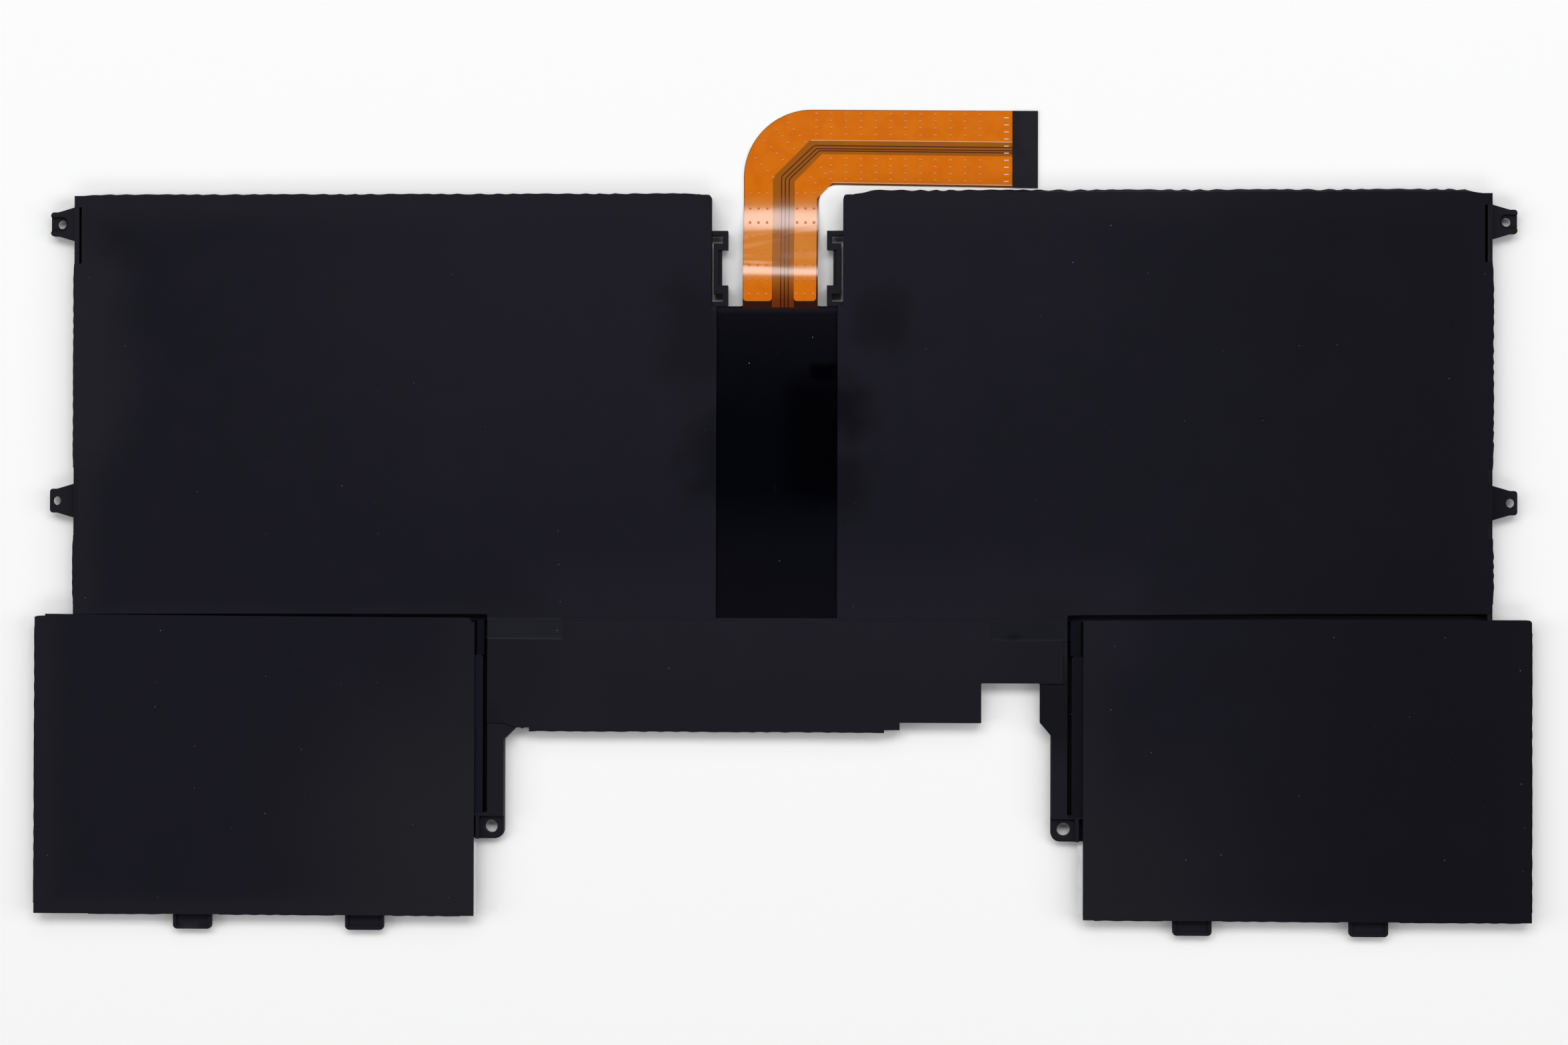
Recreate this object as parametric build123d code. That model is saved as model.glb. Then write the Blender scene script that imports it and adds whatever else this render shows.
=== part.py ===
from build123d import *
import os
from math import cos, radians, sin

# Slim laptop battery: four pouch cells in one moulded frame, covered with film on both faces,
# with a protection board in a bay and a flat flex circuit that leads to the computer.
# Millimetres. While the pieces are made, x is measured from the centre line and y from the seam
# between the upper and the lower cells. Heights are measured from the surface it lies on.

# Plan of the pack
upper_half_width = 135.1
upper_height = 80.7
lower_overhang = 7.40
lower_height = 57.1
lower_inner = 58.15
channel_half_width = 12.53
channel_setback = 21.4

# Layers, from the back film up
film_lift = 0.05
back_film = 0.10
adhesive = 0.05
cell_thickness = 3.50
cover_film = 0.15

# Frame walls
wall = 0.90
divider_above = 0.80
divider_below = 0.90
seam_strip = 0.60
seam_groove_depth = 2.00
cover_lip = 0.10
film_overlap = 0.50
film_clearance = 0.10
frame_corner_radius = 0.60

# Pouch cells
cell_clearance = 0.50
cell_corner_radius = 1.50
cell_edge_radius = 0.60
seam_fold = 0.35
seam_fold_height = 2.40
seam_fold_setback = 4.00
terrace_length = 3.50
terrace_thickness = 0.35
adhesive_margin = 4.00

# Cover films
flange_drop = 1.20
flange_corner_gap = 2.00
flange_corner_cut = 0.70
cover_corner_radius = 1.00
cover_gap_inner = 0.25
cover_gap_outer = 0.05
upper_cover_gap = 0.70
channel_cover_reach = 1.00

# Side ears
ear_reach = 4.65
ear_root_height = 6.60
ear_tip_height = 4.60
ear_tip_length = 1.40
ear_tip_radius = 0.60
ear_base = 1.30
ear_thickness = 1.40
ear_hole_radius = 0.85
upper_hole_setback = 2.00
lower_hole_setback = 1.30
upper_ear_drop = 5.50
ear_spacing = 53.10
ear_bore_width = 2.80
ear_bore_depth = 0.60
upper_notch_start = 2.20
upper_notch_length = 10.80
lower_notch_length = 13.00

# Foot tabs on the lower edge
foot_positions = (78.8, 112.0)
foot_width = 7.40
foot_length = 2.80
foot_corner_radius = 0.80
foot_base = 0.90
foot_thickness = 1.30
foot_rim = 0.60
foot_recess = 0.40
foot_flange_gap = 1.90

# Channel for the flex, with its deck and the clips beside it
deck_drop = 0.50
deck_thickness = 1.00
deck_edge_radius = 0.80
channel_wall_inset = 0.93
deck_rib = 0.80
deck_rib_pitch = 12.0
deck_rib_lift = 0.60
clip_start = 7.00
clip_reach = 3.10
clip_waist_reach = 1.90
clip_upper_lobe = 3.63
clip_lower_lobe = 4.00
clip_base = 0.80
clip_hole_width = 2.15
clip_hole_height = 1.50
clip_hole_setback = 0.90
clip_slit = 0.40
clip_step_width = 0.65
clip_step_depth = 0.60

# Board bay, its neck and steps along the lower edge
bay_depth = 21.66
bay_floor = 0.80
bay_wall = 0.80
board_film = 0.10
neck_depth = 12.15
notch_width = 11.2
notch_corner_radius = 0.50
left_step_length = 5.00
left_step = 0.76
right_step_length = 2.95
right_step = 0.56
far_step_length = 15.45
far_step = 1.96
nub_setback = 3.55
nub_radius = 0.30
board_film_margin = 0.15
board_film_right_margin = 0.65

# Arms, grooves, ridges and the screw ears at their ends
ridge_width = 2.25
ridge_top_drop = 0.40
ridge_start = 7.10
ridge_radius = 0.60
groove_width = 0.85
groove_floor = 0.80
arm_width = 3.10
arm_end = 37.20
arm_core_wall = 0.80
arm_core_roof = 1.20
arm_edge_radius = 0.60
arm_shoulder = 2.05
arm_shoulder_fall = 2.40
inner_ear_height = 5.05
inner_ear_width = 5.35
inner_ear_thickness = 2.20
inner_ear_corner_radius = 1.80
inner_ear_rib = 0.70
inner_ear_rim_radius = 0.30
inner_hole_radius = 1.25
inner_hole_spacing = 109.0
inner_hole_drop = 2.70

# Tapes and loose films
tape_thickness = 0.08
channel_tape_gap = 0.10
tape_fold = 1.20
patch_width = 14.4
patch_height = 4.20
lead_tape_gap = 0.55
lead_tape_margin = 0.10
edge_film = 0.10
edge_film_reach = 1.00
edge_film_hold = 0.45
edge_film_end_gap = 0.60

# Flex circuit
flex_thickness = 0.15
flex_width = 14.30
flex_offset = 0.57
flex_rise = 16.40
flex_reach = 49.50
flex_end_width = 14.70
flex_end_drop = 0.38
flex_outer_radius = 13.0
flex_inner_radius = 3.60
flex_bend_start = 6.30
flex_first_radius = 5.00
flex_second_radius = 12.0
flex_slope = 18.0
flex_joint_length = 7.00
flex_clearance = 0.30
stiffener_length = 4.85
stiffener_thickness = 0.20
contact_count = 10
contact_pitch = 1.35
contact_width = 0.85
contact_length = 3.40
contact_thickness = 0.03

# Protection board and what is soldered to its underside
board_thickness = 0.60
board_clearance = 0.20
board_ledge = 0.80
switch_size = 3.30
switch_height = 0.90
switch_count = 4
switch_pitch = 5.50
switch_start = -40.0
fuse_length = 5.40
fuse_width = 3.20
fuse_height = 1.00
fuse_x = -14.0
shunt_length = 6.40
shunt_width = 3.20
shunt_height = 0.60
shunt_x = -4.00
gauge_size = 4.00
gauge_height = 0.90
gauge_x = 8.00
protector_length = 4.40
protector_width = 3.00
protector_height = 1.00
protector_x = 17.0
protector_lead_count = 4
protector_lead_pitch = 0.65
protector_lead_width = 0.25
protector_lead_reach = 0.90
protector_lead_height = 0.30
capacitor_length = 1.60
capacitor_width = 0.80
capacitor_count = 6
capacitor_pitch = 3.20
capacitor_start = 2.00
resistor_length = 1.00
resistor_width = 0.50
resistor_height = 0.35
resistor_count = 8
resistor_pitch = 2.40
resistor_start = 2.00
small_row_offset = 4.60
sensor_x = 34.0
sensor_length = 1.00
sensor_width = 0.50

# Cell tabs
tab_thickness = 0.15
tab_clearance = 0.15
upper_tab_positions = (43.0, 48.0)
upper_tab_width = 3.00
upper_tab_weld = 2.80
lower_tab_positions = (2.28, 3.62)
lower_tab_width = 1.05
lower_tab_weld = 2.80

# Heights
cell_low = film_lift + back_film + adhesive
frame_top = cell_low + cell_thickness
rebate_depth = film_lift + back_film
deck = frame_top - deck_drop
bay_wall_top = frame_top - board_film
board_low = deck - board_thickness
ridge_top = frame_top - ridge_top_drop

# Faces of the frame in plan
upper_outer = upper_half_width - cover_film
upper_top = upper_height - cover_film
upper_inner = channel_half_width + cover_lip
lower_half_width = upper_half_width + lower_overhang
lower_outer = lower_half_width - cover_film
lower_bottom = cover_film - lower_height
lower_wall = lower_inner + cover_lip
channel_wall = upper_inner - cover_lip - channel_wall_inset
channel_end = upper_height - channel_setback
ridge_inner = lower_wall - ridge_width
arm_outer = ridge_inner - groove_width
arm_inner = arm_outer - arm_width
notch_right = arm_inner - arm_shoulder
notch_left = notch_right - notch_width
left_step_depth = bay_depth - left_step
far_step_depth = bay_depth - far_step
left_arm_start = left_step_depth - bay_wall
upper_ear_y = upper_height - upper_ear_drop
lower_ear_y = upper_ear_y - ear_spacing
inner_hole_x = inner_hole_spacing / 2
inner_hole_y = -arm_end - inner_hole_drop
board_mid_y = -(seam_strip + bay_depth) / 2

# Faces of the cells in plan
upper_cell_box = (upper_inner + wall + cell_clearance, upper_outer - wall - cell_clearance,
                  divider_above + cell_clearance, upper_top - wall - cell_clearance)
lower_cell_box = (lower_wall + wall + cell_clearance, lower_outer - wall - cell_clearance,
                  lower_bottom + wall + cell_clearance, -divider_below - cell_clearance)

# Flex in plan and where the whole pack has its middle
flex_left = flex_offset - flex_width / 2
flex_right = flex_offset + flex_width / 2
flex_top = upper_height + flex_rise
flex_low = -seam_strip - bay_wall - board_clearance - flex_joint_length
pack_middle_y = (flex_top - lower_height - foot_length) / 2


def rect(x0, x1, y0, y1):
    """Plan rectangle between two x and two y positions."""
    return Pos((x0 + x1) / 2, (y0 + y1) / 2) * Rectangle(abs(x1 - x0), abs(y1 - y0))


def outline(*points):
    """Plan face with straight sides through the points."""
    return make_face(Polyline(*points, close=True))


def rise(plan, low, high):
    """Solid over a plan, from one height to another."""
    return extrude(Pos(0, 0, low) * plan, high - low, dir=(0, 0, 1))


def both_sides(shape):
    """A shape of the right-hand side together with its mirror image."""
    return shape + mirror(shape, about=Plane.YZ)


def grown(box, margin):
    """The x and y limits of a plan box, moved outwards by a margin."""
    x0, x1, y0, y1 = box
    return (x0 - margin, x1 + margin, y0 - margin, y1 + margin)


def round_corner(plan, corner, radius):
    """Round the corner of a plan that lies nearest to a point."""
    return fillet(plan.vertices().sort_by_distance(corner)[0], radius)


def round_front(body, radius):
    """Round the upper edge at the front of a body, the end towards the flex."""
    return fillet(body.edges().filter_by(Axis.X).group_by(Axis.Z)[-1].sort_by(Axis.Y)[-1], radius)


def bay_plan(lip):
    """Outer face of the board bay, its lower edges moved outwards by a lip."""
    step_right = notch_left - far_step_length
    step_left = step_right - right_step_length
    left_end = -arm_inner + left_step_length
    right_depth = bay_depth - right_step
    plan = outline(
        (-arm_outer, -seam_strip),
        (-arm_outer, -left_arm_start),
        (-arm_inner, -left_arm_start),
        (-arm_inner + arm_shoulder_fall, -left_step_depth - lip),
        (left_end - lip, -left_step_depth - lip),
        (left_end - lip, -bay_depth - lip),
        (step_left + lip, -bay_depth - lip),
        (step_left + lip, -right_depth - lip),
        (step_right + lip, -right_depth - lip),
        (step_right + lip, -far_step_depth - lip),
        (notch_left + lip, -far_step_depth - lip),
        (notch_left + lip, -neck_depth - lip),
        (arm_outer, -neck_depth - lip),
        (arm_outer, -seam_strip),
    )
    return round_corner(plan, (notch_left + lip, -neck_depth - lip), notch_corner_radius)


def bay_cavity():
    """Inside of the board bay in plan."""
    return offset(bay_plan(0), amount=-bay_wall, kind=Kind.INTERSECTION)


def cell_walls():
    """Walls around the four cells, with the rebates for the back films."""
    upper = rect(upper_inner, upper_outer, -seam_strip, upper_top)
    upper = fillet(upper.vertices().group_by(Axis.Y)[-1], frame_corner_radius)
    lower = rect(lower_wall, lower_outer, lower_bottom, 0)
    lower = fillet(lower.vertices().group_by(Axis.Y)[0], frame_corner_radius)
    lower = round_corner(lower, (lower_outer, 0), frame_corner_radius)
    walls = rise(upper + lower, 0, frame_top)
    for box in (upper_cell_box, lower_cell_box):
        walls -= rise(rect(*grown(box, cell_clearance)), 0, frame_top)
        rebate = rect(*grown(box, cell_clearance + film_overlap + film_clearance))
        walls -= rise(rebate, 0, rebate_depth)
    return both_sides(walls)


def channel_deck():
    """Deck between the upper cells that carries the flex, with ribs below it."""
    side = rise(rect(channel_wall, upper_inner, -seam_strip, channel_end), 0, frame_top)
    span = rect(-channel_wall, channel_wall, -seam_strip, channel_end)
    front = rect(-channel_wall, channel_wall, channel_end - wall, channel_end)
    plate = rise(span, deck - deck_thickness, deck) + rise(front, 0, deck)
    plate = round_front(plate, deck_edge_radius)
    back = rect(-channel_wall, channel_wall, -seam_strip, divider_above)
    rib_count = int((channel_end - divider_above) / deck_rib_pitch)
    ribs = [
        rect(-channel_wall, channel_wall, y - deck_rib / 2, y + deck_rib / 2)
        for y in [divider_above + deck_rib_pitch * (i + 1) for i in range(rib_count)]
    ]
    body = both_sides(side) + plate + rise(back, 0, deck)
    for rib in ribs:
        body += rise(rib, deck_rib_lift, deck)
    return body


def channel_clip():
    """Springy clip beside the flex, at the right-hand cell, with its holes and slit."""
    top = upper_height - clip_start
    tip = channel_half_width - clip_reach
    waist = channel_half_width - clip_waist_reach
    upper_lobe_low = top - clip_upper_lobe
    lower_lobe_top = channel_end + clip_lower_lobe
    plan = rect(tip, upper_inner, upper_lobe_low, top)
    plan += rect(waist, upper_inner, lower_lobe_top, upper_lobe_low)
    plan += rect(tip, upper_inner, channel_end - wall, lower_lobe_top)
    hole_out = channel_half_width
    hole_in = hole_out - clip_hole_width
    high_hole = top - clip_hole_setback
    low_hole = channel_end + clip_hole_setback
    plan -= rect(hole_in, hole_out, high_hole - clip_hole_height, high_hole)
    plan -= rect(hole_in, hole_out, low_hole, low_hole + clip_hole_height)
    plan -= rect(hole_out - clip_slit, hole_out, low_hole, high_hole)
    clip = rise(plan, clip_base, deck)
    step = rect(waist, waist + clip_step_width, lower_lobe_top, upper_lobe_low)
    return clip - rise(step, deck - clip_step_depth, deck)


def board_bay():
    """Tray for the protection board, with the ledge that carries it and a nub on its lower wall."""
    bay = rise(bay_plan(0), 0, bay_wall_top)
    nub = Pos(-arm_inner + nub_setback, -left_step_depth) * Circle(nub_radius)
    bay += rise(nub, bay_floor, deck)
    cavity = bay_cavity()
    bay -= rise(cavity, board_low, bay_wall_top)
    return bay - rise(offset(cavity, amount=-board_ledge, kind=Kind.INTERSECTION), bay_floor, board_low)


def arms():
    """The two arms beside the lower cells, cored from below."""
    shoulder_end = far_step_depth + arm_shoulder_fall
    right = outline(
        (arm_outer, -neck_depth),
        (arm_outer, -arm_end),
        (arm_inner, -arm_end),
        (arm_inner, -shoulder_end),
        (notch_right, -far_step_depth),
        (notch_right, -neck_depth),
    )
    right += rect(notch_right - 2 * notch_corner_radius, arm_outer, -neck_depth, bay_wall / 2 - neck_depth)
    right = round_corner(right, (notch_right, -neck_depth), notch_corner_radius)
    left = outline(
        (-arm_outer, -left_arm_start),
        (-arm_outer, -arm_end),
        (-arm_inner, -arm_end),
        (-arm_inner, -left_step_depth - arm_shoulder_fall),
        (-arm_inner + arm_shoulder_fall, -left_step_depth),
        (-arm_inner, -left_arm_start),
    )
    body = rise(right, 0, deck) + rise(left, 0, deck)
    top_edges = body.edges().filter_by(Axis.Y).group_by(Axis.Z)[-1]
    body = fillet([edge for edge in top_edges if abs(abs(edge.center().X) - arm_inner) < arm_edge_radius],
                  arm_edge_radius)
    core = rect(arm_inner + arm_core_wall, arm_outer - arm_core_wall,
                -arm_end + arm_core_wall, -shoulder_end)
    return body - both_sides(rise(core, 0, deck - arm_core_roof))


def ridge_side():
    """Bridge, groove and ridge between the right arm and the lower cell, with the screw ear."""
    bridge = rise(rect(arm_outer + lead_tape_gap, lower_wall, -ridge_start, -seam_strip), 0, deck)
    floor = rise(rect(arm_outer, lower_wall, -arm_end, -seam_strip), 0, groove_floor)
    ridge = rise(rect(ridge_inner, lower_wall, -arm_end, -ridge_start), 0, ridge_top)
    ridge = fillet(ridge.edges().filter_by(Axis.Z).sort_by_distance((ridge_inner, -ridge_start, 0))[0],
                   ridge_radius)
    ear_low = -arm_end - inner_ear_height
    ear_plan = rect(arm_inner, lower_wall, ear_low, -arm_end)
    ear_plan = round_corner(ear_plan, (arm_inner, ear_low), inner_ear_corner_radius)
    ear = rise(ear_plan, 0, inner_ear_thickness)
    rib_edge = arm_inner + inner_ear_width
    rib_low = -arm_end - inner_ear_rib
    rim = [edge for edge in ear.edges().group_by(Axis.Z)[-1]
           if edge.center().X < rib_edge and edge.center().Y < rib_low]
    ear = fillet(rim, inner_ear_rim_radius)
    ribs = rect(arm_inner, lower_wall, rib_low, -arm_end)
    ribs += rect(rib_edge - inner_ear_rib, rib_edge, ear_low, -arm_end)
    ear += rise(ribs, 0, deck)
    ear -= rise(rect(rib_edge, lower_wall, ear_low, rib_low), groove_floor, deck)
    ear -= rise(Pos(inner_hole_x, inner_hole_y) * Circle(inner_hole_radius), 0, deck)
    return bridge + floor + ridge + ear


def side_ear(y, hole_setback, counterbored):
    """Screw ear on the right-hand side wall, at a height y above the seam."""
    tip = upper_half_width + ear_reach
    shoulder = tip - ear_tip_length
    plan = outline(
        (upper_outer - wall, y - ear_root_height / 2),
        (upper_outer, y - ear_root_height / 2),
        (shoulder, y - ear_tip_height / 2),
        (tip, y - ear_tip_height / 2),
        (tip, y + ear_tip_height / 2),
        (shoulder, y + ear_tip_height / 2),
        (upper_outer, y + ear_root_height / 2),
        (upper_outer - wall, y + ear_root_height / 2),
    )
    plan = fillet(plan.vertices().group_by(Axis.X)[-1], ear_tip_radius)
    hole_x = tip - hole_setback
    plan -= Pos(hole_x, y) * Circle(ear_hole_radius)
    ear_top = ear_base + ear_thickness
    ear = rise(plan, ear_base, ear_top)
    if not counterbored:
        return ear
    bore = Pos(hole_x, y) * Circle(ear_bore_width / 2)
    bore += rect(hole_x, tip, y - ear_bore_width / 2, y + ear_bore_width / 2)
    return ear - rise(bore, ear_top - ear_bore_depth, ear_top)


def foot_tab(x):
    """Locating tab on the lower edge, with a rim around a shallow recess."""
    tip = -lower_height - foot_length
    plan = rect(x - foot_width / 2, x + foot_width / 2, tip, lower_bottom + wall)
    plan = fillet(plan.vertices().group_by(Axis.Y)[0], foot_corner_radius)
    recess = rect(x - foot_width / 2 + foot_rim, x + foot_width / 2 - foot_rim, tip + foot_rim, -lower_height)
    foot_top = foot_base + foot_thickness
    return rise(plan, foot_base, foot_top) - rise(recess, foot_top - foot_recess, foot_top)


def tab_slots():
    """Openings in the walls above the deck, where the cell tabs and the flex cross them."""
    slots = rect(flex_left - flex_clearance, flex_right + flex_clearance,
                 -seam_strip - bay_wall, -seam_strip)
    sides = []
    for x in upper_tab_positions:
        half = upper_tab_width / 2 + tab_clearance
        sides.append(rect(x - half, x + half, -seam_strip - bay_wall, divider_above))
    for y in lower_tab_positions:
        half = lower_tab_width / 2 + tab_clearance
        sides.append(rect(arm_outer - bay_wall, lower_wall + wall, -y - half, -y + half))
    for side in sides:
        slots += both_sides(side)
    return rise(slots, deck, frame_top)


def seam_groove():
    """Groove along the seam on the right-hand side, where the wall between the cells is lower."""
    plan = rect(arm_outer, upper_outer - wall, -seam_strip, divider_above)
    plan += rect(lower_wall + wall, upper_outer - wall, -divider_below, -seam_strip)
    return rise(plan, frame_top - seam_groove_depth, frame_top)


def edge_film_seat(margin):
    """Plan of the seat of the clear edge film on the right-hand lower cell's inner wall."""
    top = -arm_end - inner_ear_height - edge_film_end_gap
    return rect(lower_inner - edge_film_reach, lower_wall + edge_film_hold + margin,
                lower_bottom + edge_film_end_gap - margin, top + margin)


def frame():
    """The moulded frame, one piece."""
    body = cell_walls() + channel_deck() + both_sides(channel_clip())
    body += board_bay() + arms() + both_sides(ridge_side())
    body += both_sides(side_ear(upper_ear_y, upper_hole_setback, True))
    body += both_sides(side_ear(lower_ear_y, lower_hole_setback, False))
    for x in foot_positions:
        body += both_sides(foot_tab(x))
    body -= tab_slots() + both_sides(seam_groove())
    return body - both_sides(rise(edge_film_seat(film_clearance), frame_top - edge_film, frame_top))


def pouch_cell(box, tab_end):
    """Sealed pouch: a cup with a soft lower rim, two folded side seams and the flat terrace at the tab end."""
    x0, x1, y0, y1 = box
    at_side = tab_end == "side"
    body_box = (x0 + terrace_length, x1, y0 + seam_fold, y1 - seam_fold) if at_side else (
        x0 + seam_fold, x1 - seam_fold, y0 + terrace_length, y1)
    body = rise(rect(*body_box), cell_low, frame_top)
    body = fillet(body.edges().filter_by(Axis.Z), cell_corner_radius)
    body = fillet(body.edges().group_by(Axis.Z)[0], cell_edge_radius)
    bx0, bx1, by0, by1 = body_box
    if at_side:
        terrace = rect(x0, bx0 + cell_corner_radius, by0, by1)
        folds = rect(bx0 + seam_fold_setback, bx1 - seam_fold_setback, y0, by0 + seam_fold)
        folds += rect(bx0 + seam_fold_setback, bx1 - seam_fold_setback, by1 - seam_fold, y1)
    else:
        terrace = rect(bx0 + cell_corner_radius, bx1 - cell_corner_radius, y0, by0 + cell_corner_radius)
        folds = rect(x0, bx0 + seam_fold, by0 + seam_fold_setback, by1 - seam_fold_setback)
        folds += rect(bx1 - seam_fold, x1, by0 + seam_fold_setback, by1 - seam_fold_setback)
    middle = (cell_low + frame_top) / 2
    body += rise(folds, middle - seam_fold_height / 2, middle + seam_fold_height / 2)
    terrace_low = deck + tab_thickness / 2 - terrace_thickness / 2
    return body + rise(terrace, terrace_low, terrace_low + terrace_thickness)


def flap(x0, x1, y0, y1):
    """Edge of a cover film that is folded down along a wall, its lower corners cut off."""
    strip = rise(rect(x0, x1, y0, y1), frame_top - flange_drop, frame_top + cover_film)
    across = Axis.Y if abs(x1 - x0) > abs(y1 - y0) else Axis.X
    return chamfer(strip.edges().filter_by(across).group_by(Axis.Z)[0], flange_corner_cut)


def upper_cover():
    """Film over the right-hand upper cell, folded down over the top and side walls."""
    sheet = rect(channel_half_width, upper_outer, 0, upper_top)
    sheet = round_corner(sheet, (channel_half_width, upper_top), cover_corner_radius)
    sheet -= rect(arm_outer, upper_outer, 0, upper_cover_gap)
    sheet += rect(channel_half_width - channel_cover_reach, channel_half_width, 0, channel_end - wall)
    upper_notch_top = upper_top - upper_notch_start
    upper_notch_low = upper_notch_top - upper_notch_length
    lower_notch_low = lower_ear_y - lower_notch_length / 2
    lower_notch_top = lower_ear_y + lower_notch_length / 2
    sheet -= rect(upper_outer - wall - cell_clearance, upper_outer, upper_notch_low, upper_notch_top)
    sheet -= rect(upper_outer - wall, upper_outer, lower_notch_low, lower_notch_top)
    cover = rise(sheet, frame_top, frame_top + cover_film)
    cover += flap(upper_inner + flange_corner_gap, upper_outer - flange_corner_gap, upper_top, upper_height)
    cover += flap(upper_outer, upper_half_width, lower_notch_top, upper_notch_low)
    return cover + flap(upper_outer, upper_half_width, flange_corner_gap, lower_notch_low)


def lower_cover():
    """Film over the right-hand lower cell, folded down over the outer and bottom walls."""
    sheet = outline(
        (lower_inner, -cover_gap_inner),
        (lower_outer, -cover_gap_outer),
        (lower_outer, lower_bottom),
        (lower_inner, lower_bottom),
    )
    cover = rise(sheet, frame_top, frame_top + cover_film)
    cover += flap(lower_outer, lower_half_width, lower_bottom + flange_corner_gap, -flange_corner_gap)
    half_foot = foot_width / 2 + foot_flange_gap
    stops = [lower_wall + flange_corner_gap]
    for x in foot_positions:
        stops += [x - half_foot, x + half_foot]
    stops.append(lower_outer - flange_corner_gap)
    for start, end in zip(stops[0::2], stops[1::2]):
        cover += flap(start, end, -lower_height, lower_bottom)
    return cover


def back_sheet(box):
    """Film over the back of a cell, seated in the rebate of its pocket."""
    plan = rect(*grown(box, cell_clearance + film_overlap))
    return rise(plan, film_lift, rebate_depth)


def adhesive_sheet(box):
    """Double-sided adhesive between a cell and its back film."""
    return rise(rect(*grown(box, -adhesive_margin)), rebate_depth, cell_low)


def flex_face(height):
    """Points of a face of the flex, a height above its underside, as seen from the side.

    The face runs flat over the deck, bends down, slopes and bends back to lie flat again.
    """
    slope = radians(flex_slope)
    bend = channel_end + flex_bend_start
    drop = deck - contact_thickness
    bends_drop = (flex_first_radius + flex_second_radius) * (1 - cos(slope))
    run = (drop - bends_drop) / sin(slope)
    first = flex_first_radius + height
    second = flex_second_radius - height
    first_centre = Vector(bend, deck - flex_first_radius)
    slope_start = Vector(bend + flex_first_radius * sin(slope), deck - flex_first_radius * (1 - cos(slope)))
    slope_end = slope_start + Vector(cos(slope), -sin(slope)) * run
    second_centre = slope_end + Vector(sin(slope), cos(slope)) * flex_second_radius
    first_arc = [first_centre + Vector(sin(slope * s), cos(slope * s)) * first for s in (0, 0.5, 1)]
    second_arc = [second_centre - Vector(sin(slope * s), cos(slope * s)) * second for s in (1, 0.5, 0)]
    return Vector(flex_low, deck + height), first_arc, second_arc, Vector(flex_top, contact_thickness + height)


def flex_plan():
    """The flex as cut from the sheet: up the channel, then to the right."""
    end_top = flex_top - flex_end_drop
    inner_corner = (flex_right, flex_top - flex_width)
    plan = outline(
        (flex_left, flex_low),
        (flex_left, flex_top),
        (flex_right, flex_top),
        (flex_reach, end_top),
        (flex_reach, end_top - flex_end_width),
        inner_corner,
        (flex_right, flex_low),
    )
    plan = round_corner(plan, (flex_left, flex_top), flex_outer_radius)
    return round_corner(plan, inner_corner, flex_inner_radius)


def flex_circuit():
    """The flex: its cut outline given the bent section."""
    low_start, low_first, low_second, low_end = flex_face(0)
    high_start, high_first, high_second, high_end = flex_face(flex_thickness)
    section = make_face([
        Line(low_start, low_first[0]),
        ThreePointArc(*low_first),
        Line(low_first[2], low_second[0]),
        ThreePointArc(*low_second),
        Line(low_second[2], low_end),
        Line(low_end, high_end),
        Line(high_end, high_second[2]),
        ThreePointArc(*high_second),
        Line(high_second[0], high_first[2]),
        ThreePointArc(*high_first),
        Line(high_first[0], high_start),
        Line(high_start, low_start),
    ])
    sheet = extrude(Plane.YZ.offset(flex_left) * section, flex_reach - flex_left, dir=(1, 0, 0))
    return sheet & rise(flex_plan(), 0, frame_top)


def flex_stiffener():
    """Black plate on the upper face of the flex end."""
    strip = rect(flex_reach - stiffener_length, flex_reach, channel_end, flex_top)
    low = contact_thickness + flex_thickness
    return rise(flex_plan() & strip, low, low + stiffener_thickness)


def flex_contacts():
    """Gold contacts on the underside of the flex end."""
    middle = flex_top - flex_end_drop - flex_end_width / 2
    first = middle - contact_pitch * (contact_count - 1) / 2
    rows = [first + contact_pitch * i for i in range(contact_count)]
    return [
        rise(rect(flex_reach - contact_length, flex_reach, y - contact_width / 2, y + contact_width / 2),
             0, contact_thickness)
        for y in rows
    ]


def deck_block(lift):
    """Block between the clips that ends like the deck, its faces moved outwards by a lift."""
    clip_tip = channel_half_width - clip_reach
    block = rise(rect(-clip_tip, clip_tip, -seam_strip, channel_end + lift), deck - tape_fold, deck + lift)
    return round_front(block, deck_edge_radius + lift)


def channel_tape():
    """Tape over the channel, raised over the flex and folded down over the end of the deck beside it."""
    half = channel_wall - channel_tape_gap
    low = -seam_strip - bay_wall
    left = flex_left - flex_clearance / 2
    right = flex_right + flex_clearance / 2
    clip_tip = channel_half_width - clip_reach
    tape = deck_block(tape_thickness)
    tape += rise(rect(left, right, channel_end - deck_edge_radius, channel_end), deck - deck_edge_radius, deck)
    tape -= deck_block(0)
    tape += both_sides(rise(rect(clip_tip, half, -seam_strip, channel_end), deck, deck + tape_thickness))
    tape += rise(rect(left, right, low, channel_end), deck, deck + flex_thickness + tape_thickness)
    under_flex = rect(flex_left, flex_right, low, channel_end + tape_thickness)
    return tape - rise(under_flex, deck - tape_fold, deck + flex_thickness)


def board_cover():
    """Film over the board bay."""
    plan = bay_plan(cover_lip)
    plan -= rect(-arm_outer, board_film_margin - arm_outer, -bay_depth, 0)
    plan -= rect(arm_outer - board_film_right_margin, arm_outer, -bay_depth, 0)
    plan += rect(-channel_wall, channel_wall, -seam_strip, 0)
    return rise(plan, bay_wall_top, frame_top)


def tab_patch():
    """Tape patch over the tabs of the right-hand upper cell."""
    plan = rect(arm_outer - patch_width, arm_outer, -patch_height, 0)
    return rise(plan, frame_top, frame_top + tape_thickness)


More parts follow.
